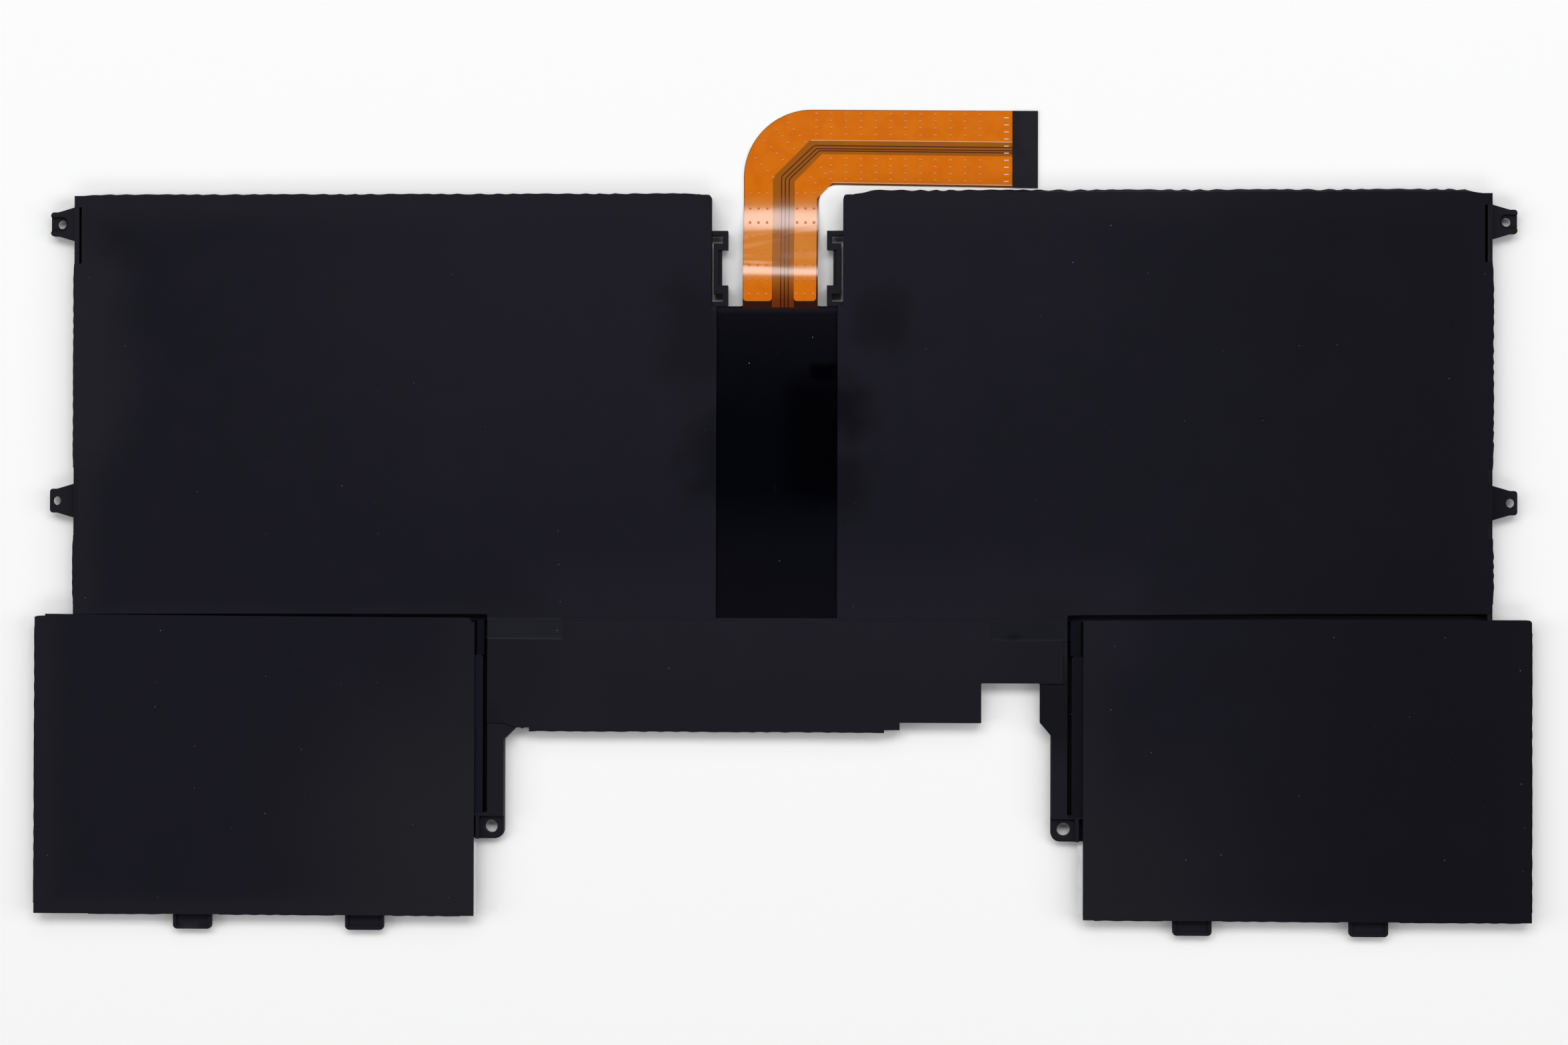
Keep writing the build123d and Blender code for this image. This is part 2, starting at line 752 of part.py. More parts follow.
def lead_tape():
    """Tape over the tabs of the right-hand lower cell, from the bridge into the slots of the bay."""
    plan = rect(arm_outer + lead_tape_gap, lower_wall, -ridge_start, -seam_strip)
    half = lower_tab_width / 2 + lead_tape_margin
    for y in lower_tab_positions:
        plan += rect(arm_outer - bay_wall, arm_outer + lead_tape_gap, -y - half, -y + half)
    low = deck + tab_thickness
    return rise(plan, low, low + tape_thickness)


def clear_edge_film():
    """Clear film held under the inner edge of the right-hand lower cover."""
    return rise(edge_film_seat(0), frame_top - edge_film, frame_top)


def protection_board():
    """Circuit board in the bay."""
    plan = offset(bay_cavity(), amount=-board_clearance, kind=Kind.INTERSECTION)
    return rise(plan, board_low, deck)


def under_board(x, y, length, width, height):
    """Plain component body on the underside of the board."""
    return rise(rect(x - length / 2, x + length / 2, y - width / 2, y + width / 2), board_low - height, board_low)


def protector_chip():
    """Protection circuit with a row of leads on two sides."""
    chip = under_board(protector_x, board_mid_y, protector_length, protector_width, protector_height)
    span = protector_width + 2 * protector_lead_reach
    first = protector_x - protector_lead_pitch * (protector_lead_count - 1) / 2
    for i in range(protector_lead_count):
        x = first + protector_lead_pitch * i
        chip += under_board(x, board_mid_y, protector_lead_width, span, protector_lead_height)
    return chip


def component_row(start, pitch, count, y, length, width, height):
    """Row of like components on the underside of the board."""
    return [under_board(start + pitch * i, y, length, width, height) for i in range(count)]


def upper_tab(x):
    """Tab of the right-hand upper cell, from its terrace to the board."""
    weld_end = -seam_strip - bay_wall - board_clearance - upper_tab_weld
    plan = rect(x - upper_tab_width / 2, x + upper_tab_width / 2, weld_end, upper_cell_box[2])
    return rise(plan, deck, deck + tab_thickness)


def lower_tab(y):
    """Tab of the right-hand lower cell, from its terrace across the bridge to the board."""
    weld_end = arm_outer - bay_wall - board_clearance - lower_tab_weld
    plan = rect(weld_end, lower_cell_box[0], -y - lower_tab_width / 2, -y + lower_tab_width / 2)
    return rise(plan, deck, deck + tab_thickness)


def mirrored_pieces():
    """Pieces that both sides have, as made for the right-hand side."""
    return {
        "upper_{}_cell": pouch_cell(upper_cell_box, "bottom"),
        "lower_{}_cell": pouch_cell(lower_cell_box, "side"),
        "upper_{}_cover": upper_cover(),
        "lower_{}_cover": lower_cover(),
        "upper_{}_back_film": back_sheet(upper_cell_box),
        "lower_{}_back_film": back_sheet(lower_cell_box),
        "upper_{}_adhesive": adhesive_sheet(upper_cell_box),
        "lower_{}_adhesive": adhesive_sheet(lower_cell_box),
        "{}_tab_patch": tab_patch(),
        "{}_lead_tape": lead_tape(),
        "{}_edge_film": clear_edge_film(),
        "upper_{}_positive_tab": upper_tab(upper_tab_positions[0]),
        "upper_{}_negative_tab": upper_tab(upper_tab_positions[1]),
        "lower_{}_positive_tab": lower_tab(lower_tab_positions[0]),
        "lower_{}_negative_tab": lower_tab(lower_tab_positions[1]),
    }


def single_pieces():
    """Pieces that the pack has once."""
    upper_row = board_mid_y + small_row_offset
    lower_row = board_mid_y - small_row_offset
    return {
        "frame": frame(),
        "flex_circuit": flex_circuit(),
        "flex_stiffener": flex_stiffener(),
        "flex_contacts": flex_contacts(),
        "channel_tape": channel_tape(),
        "board_cover": board_cover(),
        "protection_board": protection_board(),
        "switch_transistors": component_row(switch_start, switch_pitch, switch_count, board_mid_y,
                                            switch_size, switch_size, switch_height),
        "safety_fuse": under_board(fuse_x, board_mid_y, fuse_length, fuse_width, fuse_height),
        "sense_resistor": under_board(shunt_x, board_mid_y, shunt_length, shunt_width, shunt_height),
        "gauge_chip": under_board(gauge_x, board_mid_y, gauge_size, gauge_size, gauge_height),
        "protector_chip": protector_chip(),
        "capacitors": component_row(capacitor_start, capacitor_pitch, capacitor_count, upper_row,
                                    capacitor_length, capacitor_width, capacitor_width),
        "resistors": component_row(resistor_start, resistor_pitch, resistor_count, lower_row,
                                   resistor_length, resistor_width, resistor_height),
        "temperature_sensor": under_board(sensor_x, upper_row, sensor_length, sensor_width, sensor_width),
    }


def write_piece(name, shape):
    """Write one piece, moved so that the origin is under the middle of the pack."""
    solids = shape if isinstance(shape, list) else [shape]
    placed = [Pos(0, -pack_middle_y, 0) * solid for solid in solids]
    export_step(placed[0] if len(placed) == 1 else Compound(children=placed), f"parts/{name}.step")


os.makedirs("parts", exist_ok=True)
for name, shape in single_pieces().items():
    write_piece(name, shape)
for pattern, shape in mirrored_pieces().items():
    write_piece(pattern.format("right"), shape)
    write_piece(pattern.format("left"), mirror(shape, about=Plane.YZ))
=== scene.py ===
"""Looks of a slim laptop battery: cover films, tapes, flex circuit and moulded frame around its solids.

Lengths are written in millimetres and become metres where a mesh is made. x is measured from the centre
line, y from the seam between the upper and the lower cells, and z from the table that the battery lies on.
"""

import logging
import math
from dataclasses import dataclass, field, replace
from enum import Enum
from typing import Callable, Iterable, Sequence

import bmesh
import bpy
from mathutils import Matrix, Vector


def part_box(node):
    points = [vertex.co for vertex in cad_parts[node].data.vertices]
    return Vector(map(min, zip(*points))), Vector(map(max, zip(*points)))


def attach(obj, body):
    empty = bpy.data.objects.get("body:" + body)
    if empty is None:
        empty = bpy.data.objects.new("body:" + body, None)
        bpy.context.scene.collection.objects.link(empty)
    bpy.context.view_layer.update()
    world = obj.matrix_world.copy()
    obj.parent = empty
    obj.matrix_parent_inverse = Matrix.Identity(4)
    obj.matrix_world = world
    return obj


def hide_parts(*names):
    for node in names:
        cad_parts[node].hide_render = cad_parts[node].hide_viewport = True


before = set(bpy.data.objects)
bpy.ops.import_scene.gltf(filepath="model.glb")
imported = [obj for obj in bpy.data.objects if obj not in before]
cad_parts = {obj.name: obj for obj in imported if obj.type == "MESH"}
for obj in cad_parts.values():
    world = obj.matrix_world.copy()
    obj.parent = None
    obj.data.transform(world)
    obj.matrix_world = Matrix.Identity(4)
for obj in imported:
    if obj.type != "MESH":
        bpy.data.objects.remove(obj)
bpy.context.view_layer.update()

LOG = logging.getLogger("battery")
MM = 0.001
SEAM_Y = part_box("upper_right_cover")[0].y / MM
WELD_DISTANCE = 1e-7
TOLERANCE = 1e-6
SHARP_ANGLE = math.radians(35)
FLEX_WIDTH = 14.3
RIPPLE_DRIFT = 1.1
RIPPLE_DRIFT_WAVES = 4.7
RIPPLE_DRIFT_SHIFT = 2.1
RIPPLE_SWELL = 0.35
RIPPLE_SWELL_WAVES = 7.3

Point = tuple[float, float, float]
Plan = tuple[float, float]
Span = tuple[float, float]
Colour = tuple[int, int, int]
Socket = bpy.types.NodeSocket


class Side(Enum):
    """Half of the battery that a piece belongs to, with the sign of its x."""

    LEFT = -1
    RIGHT = 1

    @property
    def word(self) -> str:
        """Name of the side as the nodes write it."""
        return self.name.lower()


class Edge(Enum):
    """Edge of a cover film that a flap is folded over."""

    TOP = "top"
    OUTER = "outer"
    BOTTOM = "bottom"

    def plan(self, along: float, out: float) -> Plan:
        """Place at a distance along the edge and a distance out across it."""
        return {Edge.TOP: (along, out), Edge.OUTER: (out, along), Edge.BOTTOM: (along, -out)}[self]


def node_box(node: str) -> tuple[Vector, Vector]:
    """Corners of a solid in millimetres, with y from the seam.

    Args:
        node: name of the solid.

    Returns:
        The lowest and the highest corner.
    """
    low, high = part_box(node)
    seam = Vector((0, SEAM_Y, 0))
    return low / MM - seam, high / MM - seam


def linear(colour: Colour) -> tuple[float, float, float, float]:
    """Turn a display colour of 0 to 255 into the linear colour that a shader takes.

    Args:
        colour: red, green and blue as they show on a screen.

    Returns:
        Linear red, green, blue and full opacity.
    """
    parts = [c / 255 for c in colour]
    red, green, blue = [p / 12.92 if p <= 0.04045 else ((p + 0.055) / 1.055) ** 2.4 for p in parts]
    return red, green, blue, 1.0


def smooth(low: float, high: float, value: float) -> float:
    """Ease from 0 at low to 1 at high.

    Args:
        low: value at which the ramp starts.
        high: value at which the ramp ends.
        value: value to place on the ramp.

    Returns:
        Share of the ramp, between 0 and 1.
    """
    share = min(1.0, max(0.0, (value - low) / (high - low)))
    return share * share * (3 - 2 * share)


def plateau(rise: float, top: float, edge: float, end: float, value: float) -> float:
    """Ease from 0 to 1 and further on back to 0.

    Args:
        rise: value at which the rise starts.
        top: value at which the rise ends.
        edge: value at which the fall starts.
        end: value at which the fall ends.
        value: value to place among them.

    Returns:
        Share, between 0 and 1.
    """
    return smooth(rise, top, value) * (1 - smooth(edge, end, value))


def spaced(stops: Iterable[float], step: float) -> list[float]:
    """Positions that hold every stop and lie no further apart than a step.

    Args:
        stops: positions that have to be there.
        step: largest distance between two positions.

    Returns:
        The positions in rising order.
    """
    marks = sorted(set(round(stop, 6) for stop in stops))
    lines = [marks[0]]
    for start, end in zip(marks, marks[1:]):
        count = max(1, math.ceil((end - start) / step))
        lines += [start + (end - start) * (i + 1) / count for i in range(count)]
    return lines


def ripple(along: float, pitch: float, phase: float) -> float:
    """Uneven wave of a hand-folded edge.

    Args:
        along: position along the edge.
        pitch: length of one wave.
        phase: shift that makes edges differ.

    Returns:
        Height of the wave, between 0 and 1.
    """
    turn = 2 * math.pi * along / pitch
    drift = RIPPLE_DRIFT * math.sin(turn / RIPPLE_DRIFT_WAVES + RIPPLE_DRIFT_SHIFT * phase)
    swell = 1 - RIPPLE_SWELL + RIPPLE_SWELL * math.sin(turn / RIPPLE_SWELL_WAVES + phase)
    return swell * (0.5 + 0.5 * math.sin(turn + drift + phase))


def along_line(places: Sequence[Plan], x: float) -> float:
    """Height of a line of straight stretches.

    Args:
        places: places that the line passes through, in rising order of x.
        x: where the height is wanted.

    Returns:
        The height there, or that of the nearest end.
    """
    for (start, low), (end, high) in zip(places, places[1:]):
        if x <= end:
            return low + (high - low) * max(0.0, (x - start) / (end - start))
    return places[-1][1]


class Sheet:
    """A thin piece, gathered patch by patch in millimetres and then turned into one mesh."""

    def __init__(self, name: str, side: Side = Side.RIGHT) -> None:
        """Start an empty sheet.

        Args:
            name: name of the piece.
            side: half of the battery; patches are given for the right-hand half.
        """
        self.name = name
        self.side = side
        self.shape = bmesh.new()

    def point(self, at: Point) -> bmesh.types.BMVert:
        """Add one point, mirrored to the sheet's side and moved into the row frame."""
        x, y, z = at
        return self.shape.verts.new((x * self.side.value * MM, (y + SEAM_Y) * MM, z * MM))

    def patch(self, rows: Sequence[Sequence[Point]],
              keep: Callable[[int, int], bool] = lambda row, column: True) -> None:
        """Add a grid of faces.

        Args:
            rows: rows of points, all of the same length.
            keep: says of a row and a column whether the face there is part of the sheet.
        """
        grid = [[self.point(at) for at in row] for row in rows]
        for i, (lower, upper) in enumerate(zip(grid, grid[1:])):
            for j in range(len(lower) - 1):
                if keep(i, j):
                    self.shape.faces.new((lower[j], lower[j + 1], upper[j + 1], upper[j]))

    def cut(self, lines_x: Sequence[float], lines_y: Sequence[float],
            settled: Callable[[float, float], Point],
            inside: Callable[[float, float], bool] = lambda x, y: True) -> None:
        """Add a flat sheet that is cut to an outline and comes to lie on what is below it.

        Args:
            lines_x: lines of its grid along x.
            lines_y: lines of its grid along y.
            settled: gives the point at which a place of the flat sheet comes to lie.
            inside: says of a place whether the sheet covers it.
        """

        def keep(row: int, column: int) -> bool:
            """Whether the sheet has the face at a row and a column."""
            x = (lines_x[column] + lines_x[column + 1]) / 2
            y = (lines_y[row] + lines_y[row + 1]) / 2
            return inside(x, y)

        self.patch([[settled(x, y) for x in lines_x] for y in lines_y], keep)

    def face(self, points: Sequence[Point]) -> None:
        """Add one flat face with any number of corners."""
        self.shape.faces.new([self.point(at) for at in points])

    def make(self, thickness: float, masks: dict[str, Callable[[float, float], float]] | None = None,
             ) -> bpy.types.Object:
        """Weld the patches and give the sheet its thickness below the surface that was gathered.

        Args:
            thickness: thickness in millimetres.
            masks: values for the finish, by name, each worked out from x and y on the right-hand half.

        Returns:
            The finished object.
        """
        shape = self.shape
        bmesh.ops.remove_doubles(shape, verts=shape.verts, dist=WELD_DISTANCE)
        loose = [vert for vert in shape.verts if not vert.link_faces]
        bmesh.ops.delete(shape, geom=loose, context="VERTS")
        shape.normal_update()
        if sum(one.normal.z * one.calc_area() for one in shape.faces) < 0:
            bmesh.ops.reverse_faces(shape, faces=shape.faces)
        for name, value in (masks or {}).items():
            layer = shape.verts.layers.float.new(name)
            for vert in shape.verts:
                x, y, _ = vert.co / MM
                vert[layer] = value(x * self.side.value, y - SEAM_Y)
        mesh = bpy.data.meshes.new(self.name)
        shape.to_mesh(mesh)
        shape.free()
        obj = bpy.data.objects.new(self.name, mesh)
        bpy.context.scene.collection.objects.link(obj)
        thicken = obj.modifiers.new("thickness", "SOLIDIFY")
        thicken.thickness = thickness * MM
        thicken.offset = -1
        thicken.use_even_offset = True
        return settle(obj)


def settle(obj: bpy.types.Object) -> bpy.types.Object:
    """Fix the result of an object's modifiers in its mesh, shaded smooth between its sharp edges.

    Args:
        obj: object with modifiers.

    Returns:
        The same object with a plain mesh.
    """
    bpy.context.view_layer.update()
    graph = bpy.context.evaluated_depsgraph_get()
    mesh = bpy.data.meshes.new_from_object(obj.evaluated_get(graph))
    mesh.name = obj.name
    obj.modifiers.clear()
    obj.data = mesh
    mesh.polygons.foreach_set("use_smooth", [True] * len(mesh.polygons))
    mesh.set_sharp_from_angle(angle=SHARP_ANGLE)
    return obj


def place(obj: bpy.types.Object, finish: "Finish", slot: str, *nodes: str) -> bpy.types.Object:
    """Dress a piece and fix it to the battery.

    Args:
        obj: the piece.
        finish: its finish.
        slot: material slot of the record that it belongs to; not used.
        nodes: solids that the piece stands for.

    Returns:
        The piece.
    """
    finish.dress(obj)
    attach(obj, "root")
    if nodes:
        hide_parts(*nodes)
    LOG.info("%s: %d faces, finish %s", obj.name, len(obj.data.polygons), finish.slot)
    return obj


class Bench:
    """Places and links the nodes of one material or node group."""

    def __init__(self, tree: bpy.types.NodeTree) -> None:
        """Work on a node tree."""
        self.tree = tree

    def add(self, kind: str, settings: dict[str, object] | None = None,
            **inputs: object) -> bpy.types.Node:
        """Place a node.

        Args:
            kind: node type without its ShaderNode prefix.
            settings: properties of the node.
            inputs: values or sockets for its inputs, by name with underscores for spaces.

        Returns:
            The node.
        """
        node = self.tree.nodes.new(kind if kind.startswith("NodeGroup") else "ShaderNode" + kind)
        for name, value in (settings or {}).items():
            setattr(node, name, value)
        for name, value in inputs.items():
            self.feed(node.inputs[name.replace("_", " ")], value)
        return node

    def feed(self, target: Socket, value: object) -> None:
        """Link a socket to a target, or set the target's own value."""
        if isinstance(value, Socket):
            self.tree.links.new(value, target)
        else:
            target.default_value = value

    def sum(self, operation: str, first: object, second: object, third: object = 0.0) -> Socket:
        """Place a math node.

        Args:
            operation: name of the operation.
            first: first value or socket.
            second: second value or socket.
            third: third value or socket.

        Returns:
            The result.
        """
        node = self.add("Math", {"operation": operation})
        for target, value in zip(node.inputs, (first, second, third)):
            self.feed(target, value)
        return node.outputs[0]

    def ramp(self, value: Socket, low: float, high: float) -> Socket:
        """Ease a value from 0 at low to 1 at high.

        Args:
            value: socket to ease.
            low: value that gives 0.
            high: value that gives 1.

        Returns:
            The eased value.
        """
        node = self.add("MapRange", {"interpolation_type": "SMOOTHSTEP"},
                        Value=value, From_Min=low, From_Max=high)
        return node.outputs["Result"]

    def mix(self, mask: object, first: object, second: object) -> Socket:
        """Mix two colours.

        Args:
            mask: share of the second colour.
            first: colour or socket.
            second: colour or socket.

        Returns:
            The mixed colour.
        """
        node = self.add("Mix", {"data_type": "RGBA"})
        factor, colour_a, colour_b = node.inputs[0], node.inputs[6], node.inputs[7]
        for target, value in ((factor, mask), (colour_a, first), (colour_b, second)):
            self.feed(target, value)
        return node.outputs[2]

    def group(self, effect: "Effect", **inputs: object) -> bpy.types.Node:
        """Place a shared effect with its own values.

        Args:
            effect: the effect.
            inputs: values for its inputs, by name.

        Returns:
            The group node.
        """
        return self.add("Group", {"node_tree": effect.tree()}, **inputs)


class Effect(Enum):
    """Surface effects that several finishes share, each one node group."""

    GRAIN = "fine_grain"
    CLOUDS = "handling_clouds"
    SPECKS = "dust_specks"
    HAIRLINES = "hairline_scratches"
    EDGES = "rubbed_edges"
    ZONE = "soft_zone"

    def tree(self) -> bpy.types.NodeTree:
        """The effect's node group, built the first time that it is asked for."""
        found = bpy.data.node_groups.get(self.value)
        return found or EFFECT_BUILDERS[self](self.value)


def new_group(name: str, inputs: dict[str, float], outputs: dict[str, str]) -> tuple[Bench, dict, dict]:
    """Start a node group.

    Args:
        name: name of the group.
        inputs: default value of each input, by name.
        outputs: socket type of each output, by name.

    Returns:
        The bench, the sockets that bring the inputs, and the sockets that take the outputs.
    """
    tree = bpy.data.node_groups.new(name, "ShaderNodeTree")
    for label, value in inputs.items():
        socket = tree.interface.new_socket(label, in_out="INPUT", socket_type="NodeSocketFloat")
        socket.default_value = value
    for label, kind in outputs.items():
        tree.interface.new_socket(label, in_out="OUTPUT", socket_type=kind)
    bench = Bench(tree)
    brings = bench.add("NodeGroupInput")
    takes = bench.add("NodeGroupOutput")
    return bench, dict(brings.outputs.items()), dict(takes.inputs.items())


def build_grain(name: str) -> bpy.types.NodeTree:
    """Fine uneven texture of a moulded or coated surface, as a height."""
    bench, brings, takes = new_group(name, {"Pitch": 0.2}, {"Height": "NodeSocketFloat"})
    where = bench.add("TexCoord").outputs["Object"]
    scale = bench.sum("DIVIDE", 1 / MM, brings["Pitch"])
    fine = bench.add("TexNoise", Vector=where, Scale=scale, Detail=3.0, Roughness=0.6)
    coarse = bench.add("TexNoise", Vector=where, Scale=bench.sum("MULTIPLY", scale, 0.27), Detail=1.0)
    height = bench.sum("MULTIPLY_ADD", coarse.outputs["Fac"], 0.5, fine.outputs["Fac"])
    bench.feed(takes["Height"], height)
    return bench.tree


def build_clouds(name: str) -> bpy.types.NodeTree:
    """Soft patches left by handling, as a mask."""
    bench, brings, takes = new_group(name, {"Size": 20.0, "Cover": 0.5}, {"Mask": "NodeSocketFloat"})
    where = bench.add("TexCoord").outputs["Object"]
    scale = bench.sum("DIVIDE", 1 / MM, brings["Size"])
    cloud = bench.add("TexNoise", Vector=where, Scale=scale, Detail=4.0, Roughness=0.55, Distortion=0.4)
    low = bench.sum("SUBTRACT", 0.8, brings["Cover"])
    lifted = bench.sum("SUBTRACT", cloud.outputs["Fac"], low)
    bench.feed(takes["Mask"], bench.ramp(lifted, -0.12, 0.28))
    return bench.tree


def build_specks(name: str) -> bpy.types.NodeTree:
    """Sparse round specks of dust, as a mask."""
    bench, brings, takes = new_group(name, {"Spacing": 6.0, "Radius": 0.12, "Share": 0.3},
                                     {"Mask": "NodeSocketFloat"})
    where = bench.add("TexCoord").outputs["Object"]
    scale = bench.sum("DIVIDE", 1 / MM, brings["Spacing"])
    cells = bench.add("TexVoronoi", {"voronoi_dimensions": "2D"}, Vector=where, Scale=scale)
    chance = bench.add("SeparateColor", Color=cells.outputs["Color"])
    reach = bench.sum("DIVIDE", brings["Radius"], brings["Spacing"])
    size = bench.sum("MULTIPLY", reach, chance.outputs["Green"])
    spot = bench.sum("LESS_THAN", cells.outputs["Distance"], size)
    there = bench.sum("LESS_THAN", chance.outputs["Red"], brings["Share"])
    bench.feed(takes["Mask"], bench.sum("MULTIPLY", spot, there))
    return bench.tree


def build_hairlines(name: str) -> bpy.types.NodeTree:
    """Thin broken scratches in one direction, as a mask."""
    bench, brings, takes = new_group(name, {"Length": 12.0, "Angle": 0.4, "Share": 0.3},
                                     {"Mask": "NodeSocketFloat"})
    where = bench.add("TexCoord").outputs["Object"]
    turned = bench.add("VectorRotate", {"rotation_type": "Z_AXIS"}, Vector=where, Angle=brings["Angle"])
    scale = bench.sum("DIVIDE", 1 / MM, brings["Length"])
    stretched = bench.add("VectorMath", {"operation": "MULTIPLY"})
    bench.feed(stretched.inputs[0], turned.outputs[0])
    bench.feed(stretched.inputs[1], (1.0, 55.0, 1.0))
    lines = bench.add("TexNoise", Vector=stretched.outputs[0], Scale=scale, Detail=2.0)
    breaks = bench.add("TexNoise", Vector=where, Scale=bench.sum("MULTIPLY", scale, 1.7), Detail=1.0)
    line = bench.ramp(lines.outputs["Fac"], 0.66, 0.74)
    gap = bench.ramp(bench.sum("ADD", breaks.outputs["Fac"], brings["Share"]), 0.78, 0.95)
    bench.feed(takes["Mask"], bench.sum("MULTIPLY", line, gap))
    return bench.tree


def build_edges(name: str) -> bpy.types.NodeTree:
    """Rounded shading of edges, as a normal, and the edges as a mask for a paler tint that is partly wear and
    partly painted highlight.
    """
    bench, brings, takes = new_group(name, {"Radius": 0.15},
                                     {"Mask": "NodeSocketFloat", "Normal": "NodeSocketVector"})
    radius = bench.sum("MULTIPLY", brings["Radius"], MM)
    rounded = bench.add("Bevel", {"samples": 6}, Radius=radius).outputs["Normal"]
    flat = bench.add("NewGeometry").outputs["Normal"]
    along = bench.add("VectorMath", {"operation": "DOT_PRODUCT"})
    bench.feed(along.inputs[0], rounded)
    bench.feed(along.inputs[1], flat)
    bench.feed(takes["Mask"], bench.ramp(along.outputs["Value"], 0.995, 0.80))
    bench.feed(takes["Normal"], rounded)
    return bench.tree


def build_zone(name: str) -> bpy.types.NodeTree:
    """Box with a soft and uneven border, seen from above and measured from the seam, as a mask."""
    bench, brings, takes = new_group(
        name, {"Middle X": 0.0, "Middle Y": 0.0, "Half X": 1.0, "Half Y": 1.0, "Soft": 1.0, "Uneven": 0.0,
               "Both": 0.0}, {"Mask": "NodeSocketFloat"})
    spot = bench.add("TexCoord").outputs["Object"]
    where = bench.add("SeparateXYZ", Vector=spot)
    shift = bench.add("TexNoise", Vector=spot, Scale=0.14 / MM, Detail=2.0)
    shifts = bench.add("SeparateColor", Color=shift.outputs["Color"])
    right = bench.sum("DIVIDE", where.outputs["X"], MM)
    folded = bench.sum("SUBTRACT", bench.sum("ABSOLUTE", right, 0.0), right)
    across = bench.sum("MULTIPLY_ADD", folded, brings["Both"], right)
    up = bench.sum("SUBTRACT", bench.sum("DIVIDE", where.outputs["Y"], MM), SEAM_Y)
    stray_x = bench.sum("SUBTRACT", shifts.outputs["Red"], 0.5)
    stray_y = bench.sum("SUBTRACT", shifts.outputs["Green"], 0.5)
    across = bench.sum("MULTIPLY_ADD", stray_x, brings["Uneven"], across)
    up = bench.sum("MULTIPLY_ADD", stray_y, brings["Uneven"], up)
    away = []
    for value, axis in ((across, "X"), (up, "Y")):
        off = bench.sum("ABSOLUTE", bench.sum("SUBTRACT", value, brings[f"Middle {axis}"]), 0.0)
        beyond = bench.sum("MAXIMUM", bench.sum("SUBTRACT", off, brings[f"Half {axis}"]), 0.0)
        away.append(bench.sum("MULTIPLY", beyond, beyond))
    distance = bench.sum("SQRT", bench.sum("ADD", *away), 0.0)
    bench.feed(takes["Mask"], bench.ramp(bench.sum("DIVIDE", distance, brings["Soft"]), 1.0, 0.0))
    return bench.tree


EFFECT_BUILDERS: dict[Effect, Callable[[str], bpy.types.NodeTree]] = {
    Effect.GRAIN: build_grain,
    Effect.CLOUDS: build_clouds,
    Effect.SPECKS: build_specks,
    Effect.HAIRLINES: build_hairlines,
    Effect.EDGES: build_edges,
    Effect.ZONE: build_zone,
}


@dataclass(frozen=True)
class Clouds:
    """Soft patches of another tint."""

    tint: Colour
    size: float
    cover: float = 0.5
    strength: float = 0.5

    def mask(self, bench: Bench) -> Socket:
        """Where the tint lies."""
        return bench.group(Effect.CLOUDS, Size=self.size, Cover=self.cover).outputs["Mask"]


@dataclass(frozen=True)
class Specks:
    """Dust on the surface."""

    tint: Colour
    spacing: float
    radius: float
    share: float = 0.3
    strength: float = 0.6

    def mask(self, bench: Bench) -> Socket:
        """Where the tint lies."""
        node = bench.group(Effect.SPECKS, Spacing=self.spacing, Radius=self.radius, Share=self.share)
        return node.outputs["Mask"]


@dataclass(frozen=True)
class Hairlines:
    """Thin scratches."""

    tint: Colour
    length: float
    angle: float
    share: float = 0.3
    strength: float = 0.4

    def mask(self, bench: Bench) -> Socket:
        """Where the tint lies."""
        node = bench.group(Effect.HAIRLINES, Length=self.length, Angle=self.angle, Share=self.share)
        return node.outputs["Mask"]


@dataclass(frozen=True)
class Band:
    """Tint along a part of a sheet that its mesh marks."""

    tint: Colour
    marked: str
    strength: float = 1.0

    def mask(self, bench: Bench) -> Socket:
        """Where the tint lies."""
        return bench.add("Attribute", {"attribute_name": self.marked}).outputs["Fac"]


@dataclass(frozen=True)
class Zone:
    """Tint in a soft box, measured from the centre line and the seam.

    Attributes:
        tint: its colour.
        middle: middle of the box.
        half: half its width and half its height.
        soft: width of its soft border.
        strength: share of the tint.
        uneven: how far its border strays.
        both: whether it lies on both sides of the centre line.
    """

    tint: Colour
    middle: Plan
    half: Plan
    soft: float
    strength: float = 1.0
    uneven: float = 0.0
    both: bool = False

    def mask(self, bench: Bench) -> Socket:
        """Where the tint lies."""
        node = bench.group(Effect.ZONE, Middle_X=self.middle[0], Middle_Y=self.middle[1], Half_X=self.half[0],
                           Half_Y=self.half[1], Soft=self.soft, Uneven=self.uneven, Both=float(self.both))
        return node.outputs["Mask"]


@dataclass(frozen=True)
class RubbedEdges:
    """Rounded edges with a paler tint, partly wear and partly painted highlight."""

    tint: Colour
    radius: float
    strength: float = 0.5


@dataclass(frozen=True)
class Matte:
    """Added roughness along a part of a sheet that its mesh marks."""

    marked: str
    amount: float


Tint = Clouds | Specks | Hairlines | Band | Zone


